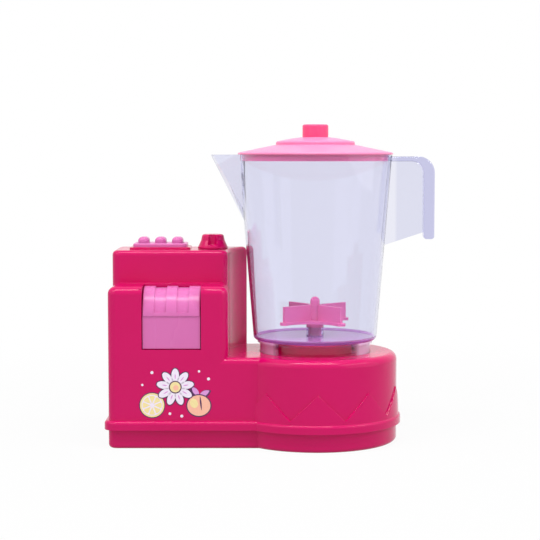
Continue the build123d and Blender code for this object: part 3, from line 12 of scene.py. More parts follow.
import bmesh
import bpy
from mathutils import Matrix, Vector


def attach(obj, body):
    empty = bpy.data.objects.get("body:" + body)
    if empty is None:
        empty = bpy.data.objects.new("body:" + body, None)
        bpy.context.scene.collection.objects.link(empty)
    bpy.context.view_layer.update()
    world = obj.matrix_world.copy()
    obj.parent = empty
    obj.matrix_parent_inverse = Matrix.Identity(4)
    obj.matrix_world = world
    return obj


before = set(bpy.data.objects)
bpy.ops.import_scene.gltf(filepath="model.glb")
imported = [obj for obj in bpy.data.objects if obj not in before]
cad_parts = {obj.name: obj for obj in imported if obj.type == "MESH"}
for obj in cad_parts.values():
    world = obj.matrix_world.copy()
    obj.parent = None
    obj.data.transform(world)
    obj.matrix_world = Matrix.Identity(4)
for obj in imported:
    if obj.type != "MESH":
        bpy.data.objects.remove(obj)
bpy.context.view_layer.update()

MM = 0.001
Rgb = tuple[float, float, float]
Point2 = tuple[float, float]
Point3 = tuple[float, float, float]

# A colour mix node shares its sockets' names with its other kinds, so they go by number.
MIX_FIRST = 6
MIX_SECOND = 7
MIX_RESULT = 2

EVEN = (1.0, 1.0, 1.0)
NOISE_LOW = 0.3     # most of a noise's values lie between these two
NOISE_HIGH = 0.7
EDGE_SAMPLES = 8    # rays that find a sharp edge near a point
SHARP = 0.2 * MM    # over this length a change of colour looks sharp
ROUND_POINTS = 40   # points on a printed disc or ellipse

log = logging.getLogger("toy_blender")


def linear(red: int, green: int, blue: int) -> Rgb:
    """Turns a display colour into scene light, by the sRGB curve.

    Args:
        red: Red, from 0 to 255.
        green: Green, from 0 to 255.
        blue: Blue, from 0 to 255.

    Returns:
        The same colour in linear light, from 0 to 1.
    """

    def channel(value: int) -> float:
        """One channel in linear light."""
        share = value / 255
        return share / 12.92 if share <= 0.04045 else ((share + 0.055) / 1.055) ** 2.4

    return channel(red), channel(green), channel(blue)


@dataclass(frozen=True)
class Grain:
    """A noise's settings: cells per metre, octaves of finer noise, and scale along each axis."""

    scale: float
    detail: float = 2.0
    stretch: Point3 = EVEN


class ShaderSheet:
    """A material's node tree, with short ways to add nodes and join them."""

    def __init__(self, name: str) -> None:
        """Starts an empty tree with an output and a principled shader.

        Args:
            name: The material's name.
        """
        self.material = bpy.data.materials.new(name)
        self.material.use_nodes = True
        self.tree = self.material.node_tree
        self.tree.nodes.clear()
        self.output = self.add("ShaderNodeOutputMaterial")
        self.surface = self.add("ShaderNodeBsdfPrincipled")
        self.join(self.surface, "BSDF", self.output, "Surface")

    def add(self, kind: str, **settings: object) -> bpy.types.Node:
        """Adds a node.

        Args:
            kind: The node's type name.
            settings: Properties of the node, by name.

        Returns:
            The new node.
        """
        node = self.tree.nodes.new(kind)
        for key, value in settings.items():
            setattr(node, key, value)
        return node

    def join(self, source: bpy.types.Node, way_out: str, target: bpy.types.Node, way_in: str) -> None:
        """Joins one node's output to another node's input, both by name."""
        self.tree.links.new(source.outputs[way_out], target.inputs[way_in])

    def set(self, node: bpy.types.Node, **values: object) -> None:
        """Sets inputs of a node. An underscore in a key stands for a space in the input's name."""
        for key, value in values.items():
            node.inputs[key.replace("_", " ")].default_value = value

    def feed(self, socket: bpy.types.NodeSocket, way_in: str) -> None:
        """Joins a socket to one of the surface's inputs."""
        self.tree.links.new(socket, self.surface.inputs[way_in])

    def place(self, stretch: Point3 = EVEN) -> bpy.types.Node:
        """Adds object coordinates.

        Args:
            stretch: Scale along X, Y and Z.

        Returns:
            A mapping node with its Vector output.
        """
        where = self.add("ShaderNodeTexCoord")
        mapping = self.add("ShaderNodeMapping")
        self.set(mapping, Scale=stretch)
        self.join(where, "Object", mapping, "Vector")
        return mapping

    def coordinates(self, stretch: Point3 = EVEN) -> bpy.types.Node:
        """Adds object coordinates as three separate values.

        Args:
            stretch: Scale along X, Y and Z.

        Returns:
            A node with its X, Y and Z outputs.
        """
        split = self.add("ShaderNodeSeparateXYZ")
        self.join(self.place(stretch), "Vector", split, "Vector")
        return split

    def noise(self, grain: Grain) -> bpy.types.Node:
        """Adds noise in object coordinates.

        Args:
            grain: The noise's settings.

        Returns:
            The noise node, with its Fac output.
        """
        noise = self.add("ShaderNodeTexNoise")
        self.set(noise, Scale=grain.scale, Detail=grain.detail)
        self.join(self.place(grain.stretch), "Vector", noise, "Vector")
        return noise

    def ramp(
        self, source: bpy.types.NodeSocket, start: float, end: float, low: float = 0.0, high: float = 1.0
    ) -> bpy.types.NodeSocket:
        """Adds a value that goes from low to high while its source goes from start to end.

        Args:
            source: The socket that it follows.
            start: Where the source gives the low value.
            end: Where the source gives the high value.
            low: The value at the start.
            high: The value at the end.

        Returns:
            The value's socket.
        """
        mapped = self.add("ShaderNodeMapRange")
        mapped.inputs["From Min"].default_value = start
        mapped.inputs["From Max"].default_value = end
        mapped.inputs["To Min"].default_value = low
        mapped.inputs["To Max"].default_value = high
        self.tree.links.new(source, mapped.inputs["Value"])
        return mapped.outputs["Result"]

    def blend(self, source: bpy.types.Node, first: Rgb, second: Rgb) -> bpy.types.NodeSocket:
        """Turns a noise into a slow change between two colours.

        Args:
            source: The noise node.
            first: Colour at the noise's low end.
            second: Colour at the noise's high end.

        Returns:
            The colour's socket.
        """
        colours = self.add("ShaderNodeValToRGB")
        for element, position, colour in zip(
            colours.color_ramp.elements, (NOISE_LOW, NOISE_HIGH), (first, second)
        ):
            element.position = position
            element.color = (*colour, 1.0)
        self.join(source, "Fac", colours, "Fac")
        return colours.outputs["Color"]

    def mix(
        self, share: bpy.types.NodeSocket, first: bpy.types.NodeSocket | Rgb, second: Rgb
    ) -> bpy.types.NodeSocket:
        """Adds a change from one colour to another.

        Args:
            share: Socket of the second colour's share.
            first: The first colour, or its socket.
            second: The second colour.

        Returns:
            The mixed colour's socket.
        """
        mixed = self.add("ShaderNodeMix", data_type="RGBA")
        self.tree.links.new(share, mixed.inputs["Factor"])
        if isinstance(first, bpy.types.NodeSocket):
            self.tree.links.new(first, mixed.inputs[MIX_FIRST])
        else:
            mixed.inputs[MIX_FIRST].default_value = (*first, 1.0)
        mixed.inputs[MIX_SECOND].default_value = (*second, 1.0)
        return mixed.outputs[MIX_RESULT]

    def gloss(self, source: bpy.types.Node, low: float, high: float) -> None:
        """Lets a noise change the surface's roughness.

        Args:
            source: The noise node.
            low: Roughness at the noise's low end.
            high: Roughness at the noise's high end.
        """
        self.feed(self.ramp(source.outputs["Fac"], NOISE_LOW, NOISE_HIGH, low, high), "Roughness")

    def relief(self, source: bpy.types.Node, strength: float, depth: float, edge: float = 0.0) -> None:
        """Adds a fine relief to the surface.

        Args:
            source: The noise node that gives the height.
            strength: Share of the relief that shows.
            depth: Height of the relief.
            edge: Radius by which sharp edges look rounded.
        """
        bump = self.add("ShaderNodeBump")
        if edge:
            rounding = self.add("ShaderNodeBevel", samples=EDGE_SAMPLES)
            self.set(rounding, Radius=edge)
            self.join(rounding, "Normal", bump, "Normal")
        self.set(bump, Strength=strength, Distance=depth)
        self.join(source, "Fac", bump, "Height")
        self.join(bump, "Normal", self.surface, "Normal")


@dataclass(frozen=True)
class Finish:
    """A named finish, whose material is made once."""

    name: str

    def material(self) -> bpy.types.Material:
        """Gives the finish's material, which is made the first time.

        Returns:
            The material.
        """
        if self.name in bpy.data.materials:
            return bpy.data.materials[self.name]
        sheet = ShaderSheet(self.name)
        self.fill(sheet)
        return sheet.material

    def fill(self, sheet: ShaderSheet) -> None:
        """Fills a new material's node tree, which each kind of finish does in its own way."""
        raise NotImplementedError


@dataclass(frozen=True)
class MouldedPlastic(Finish):
    """Opaque injection-moulded plastic, with slow colour change and a faint orange peel."""

    colour: Rgb
    shade: Rgb
    roughness: float = 0.2
    specular: float = 0.3
    peel: float = 0.12
    scatter: float = 0.0
    edge: float = 0.0
    # A second colour below a height: painted light, not the plastic's own colour.
    under: Rgb | None = None
    painted_light_z: float = 0.0
    mottle: Grain = Grain(16.0, 3.0)
    handling: Grain = Grain(70.0, 5.0, (1.0, 1.0, 0.35))
    smoother: float = 0.025
    rougher: float = 0.035
    peel_grain: Grain = Grain(420.0)
    peel_depth: float = 0.03 * MM
    bending: float = 1.5
    glow_depth: float = 4.0 * MM
    glow_reach: Rgb = (1.0, 0.45, 0.6)

    def base(self, sheet: ShaderSheet) -> bpy.types.NodeSocket:
        """Adds the colour, which may be another one below a height: painted light, given to the lid's
        skirt for how it looks lit through the jar's wall.

        Args:
            sheet: The material's node tree.

        Returns:
            The colour's socket.
        """
        upper = sheet.blend(sheet.noise(self.mottle), self.shade, self.colour)
        if self.under is None:
            return upper
        height = sheet.coordinates().outputs["Z"]
        # Mask of the painted light colour below the height.
        below = sheet.ramp(height, self.painted_light_z + SHARP / 2, self.painted_light_z - SHARP / 2)
        return sheet.mix(below, upper, self.under)

    def fill(self, sheet: ShaderSheet) -> None:
        """Fills the tree with the colour, its gloss, the orange peel and the light within.

        Args:
            sheet: The material's node tree.
        """
        sheet.feed(self.base(sheet), "Base Color")
        wear = sheet.noise(self.handling)
        sheet.gloss(wear, self.roughness - self.smoother, self.roughness + self.rougher)
        sheet.relief(sheet.noise(self.peel_grain), self.peel, self.peel_depth, self.edge)
        sheet.set(sheet.surface, IOR=self.bending, Specular_IOR_Level=self.specular)
        if self.scatter:
            sheet.set(sheet.surface, Subsurface_Weight=self.scatter, Subsurface_Scale=self.glow_depth)
            sheet.set(sheet.surface, Subsurface_Radius=self.glow_reach)


@dataclass(frozen=True)
class ClearPlastic(Finish):
    """Clear polystyrene with a faint tint that gathers where the wall is seen edge on.

    Beyond outer_from along X the tint is another one. The edge light is painted light: a paler, less
    clear colour that stands for light that gathers in thick edges. It lies below a height, or else
    beyond a width to both sides.
    """

    tint: Rgb
    outer_tint: Rgb
    outer_from: float
    depth_tint: Rgb
    density: float
    edge_light_tint: Rgb
    edge_light_share: float
    edge_light_below: float = 0.0
    edge_light_beyond: float = 0.0
    bending: float = 1.4
    roughness: float = 0.02
    outer_fade: float = 2.0 * MM
    below_fade: float = 0.8 * MM
    beyond_fade: float = 4.0 * MM
    streaks: Grain = Grain(24.0, 3.0, (1.0, 1.0, 0.12))
    streak_gain: float = 1.01
    smears: Grain = Grain(90.0, 4.0)
    smoothest: float = 0.5
    roughest: float = 1.6
    ripples: Grain = Grain(60.0, 2.0, (1.0, 1.0, 0.25))
    ripple_share: float = 0.08
    ripple_depth: float = 0.08 * MM

    def edge_light(self, sheet: ShaderSheet, where: bpy.types.Node) -> bpy.types.NodeSocket:
        """Adds the share of painted edge light.

        Args:
            sheet: The material's node tree.
            where: The node with the three coordinates.

        Returns:
            The share's socket.
        """
        if self.edge_light_below:
            return sheet.ramp(where.outputs["Z"], self.edge_light_below + self.below_fade, self.edge_light_below)
        aside = sheet.add("ShaderNodeMath", operation="ABSOLUTE")
        sheet.tree.links.new(where.outputs["X"], aside.inputs[0])
        return sheet.ramp(aside.outputs["Value"], self.edge_light_beyond, self.edge_light_beyond + self.beyond_fade)

    def fill(self, sheet: ShaderSheet) -> None:
        """Fills the tree with the tints, the painted edge light, the ripples and the depth's own tint.

        Args:
            sheet: The material's node tree.
        """
        sheet.set(sheet.surface, IOR=self.bending)
        where = sheet.coordinates()
        paler = tuple(min(1.0, value * self.streak_gain) for value in self.tint)
        inner = sheet.blend(sheet.noise(self.streaks), self.tint, paler)
        outer = sheet.ramp(where.outputs["X"], self.outer_from, self.outer_from + self.outer_fade)
        tint = sheet.mix(outer, inner, self.outer_tint)
        edge_light_mask = self.edge_light(sheet, where)
        # Painted light: where the mask is on, a paler colour and less clear glass stand for light
        # gathered in thick edges.
        sheet.feed(sheet.mix(edge_light_mask, tint, self.edge_light_tint), "Base Color")
        sheet.feed(sheet.ramp(edge_light_mask, 0.0, 1.0, 1.0, 1.0 - self.edge_light_share), "Transmission Weight")
        smear = sheet.noise(self.smears)
        sheet.gloss(smear, self.roughness * self.smoothest, self.roughness * self.roughest)
        sheet.relief(sheet.noise(self.ripples), self.ripple_share, self.ripple_depth)
        body = sheet.add("ShaderNodeVolumeAbsorption")
        sheet.set(body, Color=(*self.depth_tint, 1.0), Density=self.density)
        sheet.join(body, "Volume", sheet.output, "Volume")


@dataclass(frozen=True)
class BareMetal(Finish):
    """Plated or drawn metal with fine lines along one direction."""

    colour: Rgb
    shade: Rgb
    roughness: float = 0.28
    lines: Grain = Grain(300.0, 3.0, (1.0, 1.0, 12.0))
    stains: Grain = Grain(180.0, 4.0)
    smoother: float = 0.08
    rougher: float = 0.1
    line_share: float = 0.15
    line_depth: float = 0.02 * MM

    def fill(self, sheet: ShaderSheet) -> None:
        """Fills the tree with the stained metal and its lines.

        Args:
            sheet: The material's node tree.
        """
        sheet.set(sheet.surface, Metallic=1.0)
        sheet.feed(sheet.blend(sheet.noise(self.stains), self.shade, self.colour), "Base Color")
        brush = sheet.noise(self.lines)
        sheet.gloss(brush, self.roughness - self.smoother, self.roughness + self.rougher)
        sheet.relief(brush, self.line_share, self.line_depth)


@dataclass(frozen=True)
class CellSleeve(Finish):
    """A battery's plain sleeve: one colour, with a broad band of another at the plus end."""

    body: Rgb
    band: Rgb
    band_from: float
    way: float
    metallic: float = 0.35
    scuffs: Grain = Grain(160.0, 4.0)
    smoothest: float = 0.22
    roughest: float = 0.34
    wrinkles: Grain = Grain(700.0)
    wrinkle_share: float = 0.1
    wrinkle_depth: float = 0.02 * MM

    def fill(self, sheet: ShaderSheet) -> None:
        """Fills the tree with the two colours under a soft gloss.

        Args:
            sheet: The material's node tree.
        """
        along = sheet.coordinates((1.0, self.way, 1.0)).outputs["Y"]
        past = sheet.ramp(along, self.band_from, self.band_from + SHARP)
        sheet.feed(sheet.mix(past, self.body, self.band), "Base Color")
        sheet.gloss(sheet.noise(self.scuffs), self.smoothest, self.roughest)
        sheet.relief(sheet.noise(self.wrinkles), self.wrinkle_share, self.wrinkle_depth)
        sheet.set(sheet.surface, Metallic=self.metallic)


@dataclass(frozen=True)
class FibreBoard(Finish):
    """Plain phenolic board with the weave of its paper layers."""

    colour: Rgb
    shade: Rgb
    fibres: Grain = Grain(900.0, 4.0, (1.0, 0.2, 1.0))
    fibre_share: float = 0.3
    fibre_depth: float = 0.03 * MM
    scuffs: Grain = Grain(300.0)
    smoothest: float = 0.4
    roughest: float = 0.6

    def fill(self, sheet: ShaderSheet) -> None:
        """Fills the tree with the fibres, in colour and relief.

        Args:
            sheet: The material's node tree.
        """
        weave = sheet.noise(self.fibres)
        sheet.feed(sheet.blend(weave, self.shade, self.colour), "Base Color")
        sheet.gloss(sheet.noise(self.scuffs), self.smoothest, self.roughest)
        sheet.relief(weave, self.fibre_share, self.fibre_depth)


@dataclass(frozen=True)
class PrintedFilm(Finish):
    """Ink on a thin vinyl film: fine print grain under a soft gloss."""

    colour: Rgb
    shade: Rgb
    grain: Grain = Grain(2600.0)
    grain_share: float = 0.08
    grain_depth: float = 0.01 * MM
    smudges: Grain = Grain(240.0, 3.0)
    smoothest: float = 0.26
    roughest: float = 0.36

    def fill(self, sheet: ShaderSheet) -> None:
        """Fills the tree with the print grain, in colour and relief.

        Args:
            sheet: The material's node tree.
        """
        dots = sheet.noise(self.grain)
        sheet.feed(sheet.blend(dots, self.shade, self.colour), "Base Color")
        sheet.gloss(sheet.noise(self.smudges), self.smoothest, self.roughest)
        sheet.relief(dots, self.grain_share, self.grain_depth)


HOT_PINK = MouldedPlastic(
    "hot_pink_gloss", linear(197, 4, 93), linear(193, 3, 89), 0.15, 0.2, edge=0.4 * MM
)
LIGHT_PINK = MouldedPlastic(
    "light_pink_satin", linear(207, 109, 172), linear(202, 104, 167), 0.27, 0.3,
    peel=0.05, scatter=0.12, edge=0.3 * MM
)
# The lid's skirt below the jar's rim takes a brighter coral: painted light for how it looks lit through
# the jar's wall, the same plastic as the lid.
LID_PINK = MouldedPlastic(
    "lid_pink_soft", linear(238, 131, 174), linear(235, 127, 170), 0.36, scatter=0.2,
    under=linear(255, 122, 176), painted_light_z=192.9 * MM
)
CORAL_PINK = MouldedPlastic(
    "knob_coral_soft", linear(238, 78, 128), linear(234, 73, 123), 0.38, scatter=0.2
)
ROSE_PINK = MouldedPlastic(
    "impeller_rose_satin", linear(226, 113, 172), linear(221, 107, 167), 0.34, scatter=0.15
)
# Painted light: the shaft takes a brighter copy of the impeller's rose plastic, the same material lit
# more.
SHAFT_PINK_PAINTED_LIGHT = MouldedPlastic(
    "shaft_rose_painted_light", linear(255, 130, 190), linear(252, 124, 184), 0.34, scatter=0.15
)
GEAR_WHITE = MouldedPlastic(
    "gear_white_acetal", linear(238, 236, 228), linear(230, 228, 219), 0.38, scatter=0.3
)
SWITCH_BLACK = MouldedPlastic("switch_black_matt", linear(28, 28, 31), linear(22, 22, 25), 0.5)
CLEAR_VIOLET = ClearPlastic(
    "jar_clear_violet",
    tint=(0.865, 0.87, 0.935),
    outer_tint=(0.76, 0.77, 0.88),
    outer_from=53.5 * MM,
    depth_tint=(0.36, 0.33, 0.76),
    density=36.0,
    # Painted light: below this height the jar takes a pale violet colour and less clear glass, for the
    # light that gathers in its thick heel.
    edge_light_tint=linear(214, 152, 224),
    edge_light_share=0.34,
    edge_light_below=70.4 * MM,
)
CLEAR_FOOT_PAINTED_SHADE_AND_LIGHT = ClearPlastic(
    "foot_clear_violet",
    # Painted shade: the foot's tint is darker and redder than the jar's, to darken the boss seen through
    # it under the jar.
    tint=(0.7, 0.42, 0.56),
    outer_tint=(0.76, 0.77, 0.88),
    outer_from=53.5 * MM,
    depth_tint=(0.36, 0.33, 0.76),
    density=20.0,
    # Painted light: beyond 25 mm to both sides the foot takes a pale milky colour for the light in its
    # thick sides.
    edge_light_tint=linear(244, 212, 240),
    edge_light_share=0.6,
    edge_light_beyond=25.0 * MM,
)
ZINC_STEEL = BareMetal("zinc_plated_steel", (0.72, 0.72, 0.74), (0.62, 0.62, 0.65))
DRAWN_CAN = BareMetal(
    "drawn_motor_can", (0.75, 0.76, 0.78), (0.66, 0.67, 0.7), 0.22, Grain(300.0, 3.0, (1.0, 1.0, 0.1))
)
BOARD = FibreBoard("phenolic_board", linear(176, 134, 84), linear(152, 112, 66))
SLEEVE_BLUE = linear(40, 78, 140)
SLEEVE_GOLD = linear(222, 190, 110)


class Slot(Enum):
    """The record's material slots; each dressing names one, which the script does not use."""

    HOT_PINK = "hot_pink"
    LIGHT_PINK = "light_pink"
    LID_PINK = "lid_pink"
    CORAL_PINK = "coral_pink"
    ROSE_PINK = "rose_pink"
    CLEAR_VIOLET = "clear_violet"
    STEEL = "steel"
    BRIGHT_METAL = "bright_metal"
    CELL_SLEEVE = "cell_sleeve"
    GEAR_WHITE = "gear_white"
    BOARD_GREEN = "board_green"
    SWITCH_BLACK = "switch_black"


class SubAssembly:
    """A group of pieces that belong together, with ways to dress nodes and add meshes."""

    title = "pieces"

    def dress(self, node: str, finish: Finish, slot: Slot) -> bpy.types.Object:
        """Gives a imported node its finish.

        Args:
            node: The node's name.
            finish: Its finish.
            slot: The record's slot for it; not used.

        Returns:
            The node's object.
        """
        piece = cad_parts[node]
        piece.data.materials.clear()
        piece.data.materials.append(finish.material())
        log.info("%s: %s in %s", self.title, node, finish.name)
        return piece

    def add_mesh(
        self, name: str, vertices: list[Vector], faces: list[list[int]], finish: Finish, body: str
    ) -> None:
        """Makes a new piece from points and faces.

        Args:
            name: The piece's name.
            vertices: Its points, in the model's frame.
            faces: Point numbers of each face.
            finish: Its finish.
            body: The body that it rides on.
        """
        mesh = bpy.data.meshes.new(name)
        mesh.from_pydata(vertices, [], faces)
        shape = bmesh.new()
        shape.from_mesh(mesh)
        bmesh.ops.recalc_face_normals(shape, faces=shape.faces)
        shape.to_mesh(mesh)
        shape.free()
        piece = bpy.data.objects.new(name, mesh)
        bpy.context.scene.collection.objects.link(piece)
        mesh.materials.append(finish.material())
        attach(piece, body)
        log.info("%s: %s in %s, %d faces", self.title, name, finish.name, len(faces))


@dataclass
class Housing(SubAssembly):
    """The pink shell with its tray, battery door and the screws under it."""

    title: str = "housing"
    shells: tuple[str, ...] = ("upper_housing", "base_tray", "battery_door")
    fasteners: tuple[str, ...] = ("housing_screws", "battery_door_screw")

    def build(self) -> None:
        """Dresses the shells and the fasteners."""
        for node in self.shells:
            self.dress(node, HOT_PINK, Slot.HOT_PINK)
        for node in self.fasteners:
            self.dress(node, ZINC_STEEL, Slot.STEEL)


@dataclass
class Jar(SubAssembly):
    """The clear jar on its foot ring."""

    title: str = "jar"

    def build(self) -> None:
        """Dresses the jar, which lets light through to the impeller, and its foot."""
        wall = self.dress("jar", CLEAR_VIOLET, Slot.CLEAR_VIOLET)
        wall.visible_shadow = False
        self.dress("jar_foot", CLEAR_FOOT_PAINTED_SHADE_AND_LIGHT, Slot.CLEAR_VIOLET)


@dataclass
class Lid(SubAssembly):
    """The lid with its knob."""

    title: str = "lid"

    def build(self) -> None:
        """Dresses the lid and its knob."""
        self.dress("lid", LID_PINK, Slot.LID_PINK)
        self.dress("lid_knob", CORAL_PINK, Slot.CORAL_PINK)


@dataclass
class Impeller(SubAssembly):
    """The impeller on its shaft, inside the jar."""

    title: str = "impeller"

    def build(self) -> None:
        """Dresses the blades and the shaft."""
        self.dress("impeller", ROSE_PINK, Slot.ROSE_PINK)
        self.dress("impeller_shaft", SHAFT_PINK_PAINTED_LIGHT, Slot.ROSE_PINK)


@dataclass
class Drive(SubAssembly):
    """Motor, gears, coupling and the bracket that carries them."""

    title: str = "drive"
    acetal: tuple[str, ...] = ("gear_bracket", "drive_gear", "motor_pinion")

    def build(self) -> None:
        """Dresses the drive train."""
        for node in self.acetal:
            self.dress(node, GEAR_WHITE, Slot.GEAR_WHITE)
        self.dress("drive_coupler", ROSE_PINK, Slot.ROSE_PINK)
        self.dress("motor", DRAWN_CAN, Slot.BRIGHT_METAL)
        self.dress("motor_shaft", ZINC_STEEL, Slot.STEEL)
        self.dress("bracket_screws", ZINC_STEEL, Slot.STEEL)


@dataclass
class BatteryBox(SubAssembly):
    """The two cells with their springs and contacts."""

    title: str = "battery box"
    band: float = 14 * MM
    plus_ends: tuple[float, float] = (1.0, -1.0)

    def build(self) -> None:
        """Dresses the cells, each with its band at its own plus end."""
        for number, way in enumerate(self.plus_ends, 1):
            sleeve = CellSleeve(f"cell_sleeve_{number}", SLEEVE_BLUE, SLEEVE_GOLD, self.band, way)
            self.dress(f"battery_cell_{number}", sleeve, Slot.CELL_SLEEVE)
        self.dress("battery_springs", ZINC_STEEL, Slot.STEEL)
        self.dress("battery_contacts", ZINC_STEEL, Slot.STEEL)


@dataclass
class RockerSwitch(SubAssembly):
    """The rocker on the tower's front with its axle, spring and push switch."""

    title: str = "rocker"

    def build(self) -> None:
        """Dresses the rocker and what it works."""
        self.dress("rocker", LIGHT_PINK, Slot.LIGHT_PINK)
        self.dress("rocker_axle", ZINC_STEEL, Slot.STEEL)
        self.dress("rocker_spring", ZINC_STEEL, Slot.STEEL)
        self.dress("switch_body", SWITCH_BLACK, Slot.SWITCH_BLACK)
        self.dress("switch_plunger", GEAR_WHITE, Slot.GEAR_WHITE)


@dataclass
class Buttons(SubAssembly):
    """The stepped panel on the roof with its three buttons."""

    title: str = "buttons"
    count: int = 3

    def build(self) -> None:
        """Dresses the panel, the buttons, their springs and the board."""
        self.dress("button_panel", LIGHT_PINK, Slot.LIGHT_PINK)
        for number in range(1, self.count + 1):
            self.dress(f"button_{number}", LIGHT_PINK, Slot.LIGHT_PINK)
            self.dress(f"button_spring_{number}", ZINC_STEEL, Slot.STEEL)
        self.dress("button_board", BOARD, Slot.BOARD_GREEN)
        self.dress("board_screws", ZINC_STEEL, Slot.STEEL)


@dataclass
class Dial(SubAssembly):
    """The dial on the roof."""

    title: str = "dial"

    def build(self) -> None:
        """Dresses the dial and the ring that keeps it."""
        self.dress("dial_knob", HOT_PINK, Slot.HOT_PINK)
        self.dress("dial_clip", GEAR_WHITE, Slot.GEAR_WHITE)


class Ink(Enum):
    """The print's inks."""

    OUTLINE = PrintedFilm("ink_dark_purple", linear(74, 26, 84), linear(66, 22, 76))
    WHITE = PrintedFilm("ink_white", linear(236, 228, 242), linear(228, 218, 236))
    CREAM = PrintedFilm("ink_cream", linear(238, 222, 160), linear(230, 212, 150))
    PEACH = PrintedFilm("ink_peach", linear(242, 186, 160), linear(236, 176, 150))
    LILAC = PrintedFilm("ink_lilac", linear(214, 150, 214), linear(206, 142, 206))


@dataclass
class FruitPrint(SubAssembly):
    """A small print of fruit and a daisy on the slab's front, low under the rocker.

    Its sizes are millimetres, and its points lie across and up from the print's middle.
    The motifs' own proportions are shares of their reach or size.
    """

    title: str = "print"
    middle_x: float = -92.6
    middle_z: float = 37.0
    front_y: float = -39.8
    film: float = 0.02
    dot_points: int = 20
    leaf_points: int = 14
    leaf_fullness: float = 0.8
    wedge_points: int = 4
    spots: tuple[Point3, ...] = (
        (-15.2, 13.6, 1.0), (15.6, 14.4, 0.8), (-21.6, 5.4, 0.8),
        (21.8, 9.4, 1.0), (-3.6, -13.6, 0.9), (4.2, -15.2, 1.0),
    )
    shapes: dict[Ink, list[tuple[list[Point2], int]]] = field(default_factory=dict)

    def lay(self, ink: Ink, outline: list[Point2], layer: int) -> None:
        """Adds one flat shape to the print.

        Args:
            ink: Its ink.
            outline: Its outline, counter-clockwise.
            layer: How many films lie under it.
        """
        self.shapes.setdefault(ink, []).append((outline, layer))

    def ellipse(
        self,
        across: float,
        up: float,
        half_w: float,
        half_h: float,
        turn: float = 0.0,
        points: int = ROUND_POINTS,
    ) -> list[Point2]:
        """The outline of an ellipse.

        Args:
            across: Its middle, across.
            up: Its middle, up.
            half_w: Half its width.
            half_h: Half its height.
            turn: Its turn in degrees.
            points: How many points it has.

        Returns:
            The outline.
        """
        angle = math.radians(turn)
        outline = []
        for step in range(points):
            round_it = 2 * math.pi * step / points
            x = half_w * math.cos(round_it)
            y = half_h * math.sin(round_it)
            outline.append((
                across + x * math.cos(angle) - y * math.sin(angle),
                up + x * math.sin(angle) + y * math.cos(angle),
            ))
        return outline

    def disc(self, across: float, up: float, radius: float, points: int = ROUND_POINTS) -> list[Point2]:
        """The outline of a disc, by its middle, its radius and how many points it has."""
        return self.ellipse(across, up, radius, radius, points=points)

    def leaf(self, across: float, up: float, length: float, width: float, turn: float) -> list[Point2]:
        """The outline of a leaf that points away from its foot.

        Args:
            across: Its foot, across.
            up: Its foot, up.
            length: From foot to tip.
            width: Across its middle.
            turn: Its direction in degrees.

        Returns:
            The outline.
        """
        angle = math.radians(turn)
        outline = []
        for side in (-1, 1):
            for step in range(self.leaf_points):
                share = step / self.leaf_points if side < 0 else 1 - step / self.leaf_points
                along = length * share
                aside = side * width / 2 * math.sin(math.pi * share) ** self.leaf_fullness
                outline.append((
                    across + along * math.cos(angle) - aside * math.sin(angle),
                    up + along * math.sin(angle) + aside * math.cos(angle),
                ))
        return outline

    def daisy(self, across: float, up: float, petals: int, reach: float, base: int) -> None:
        """Lays a daisy: dark edge, white petals and a cream middle.

        Args:
            across: Its middle, across.
            up: Its middle, up.
            petals: How many petals.
            reach: From the middle to a petal's tip.
            base: How many films lie under it.
        """
        petal_at = reach * 0.62
        vein_inward = reach * 0.2
        eye_shift = 0.4
        for number in range(petals):
            turn = 360 * number / petals + 90
            angle = math.radians(turn)
            x = across + petal_at * math.cos(angle)
            z = up + petal_at * math.sin(angle)
            self.lay(Ink.OUTLINE, self.ellipse(x, z, reach * 0.42, reach * 0.25, turn), base)
            self.lay(Ink.WHITE, self.ellipse(x, z, reach * 0.37, reach * 0.2, turn), base + 1)
            foot_x = x - vein_inward * math.cos(angle)
            foot_z = z - vein_inward * math.sin(angle)
            vein = self.leaf(foot_x, foot_z, reach * 0.3, reach * 0.06, turn)
            self.lay(Ink.LILAC, vein, base + 2)
        self.lay(Ink.OUTLINE, self.disc(across, up, reach * 0.34), base + 3)
        self.lay(Ink.CREAM, self.disc(across, up, reach * 0.28), base + 4)
        self.lay(Ink.PEACH, self.disc(across + eye_shift, up - eye_shift, reach * 0.14), base + 5)

    def peach(self, across: float, up: float, size: float) -> None:
        """Lays a peach with its cleft, its gleam and two leaves.

        Args:
            across: Its middle, across.
            up: Its middle, up.
            size: Its radius.
        """
        leaf_turns = (28, 128)
        blade_shift = 0.25
        for turn in leaf_turns:
            edge = self.leaf(across, up + size * 0.75, size * 1.2, size * 0.62, turn)
            blade = self.leaf(across + blade_shift, up + size * 0.83, size * 1.0, size * 0.44, turn)
            self.lay(Ink.OUTLINE, edge, 0)
            self.lay(Ink.LILAC, blade, 1)
        gleam = self.ellipse(across - size * 0.42, up + size * 0.2, size * 0.34, size * 0.42, 20)
        cleft = self.leaf(across + size * 0.1, up + size * 0.86, size * 1.3, size * 0.14, -84)
        self.lay(Ink.OUTLINE, self.ellipse(across, up, size * 1.1, size), 2)
        self.lay(Ink.PEACH, self.ellipse(across, up, size * 1.0, size * 0.9), 3)
        self.lay(Ink.CREAM, gleam, 4)
        self.lay(Ink.OUTLINE, cleft, 5)

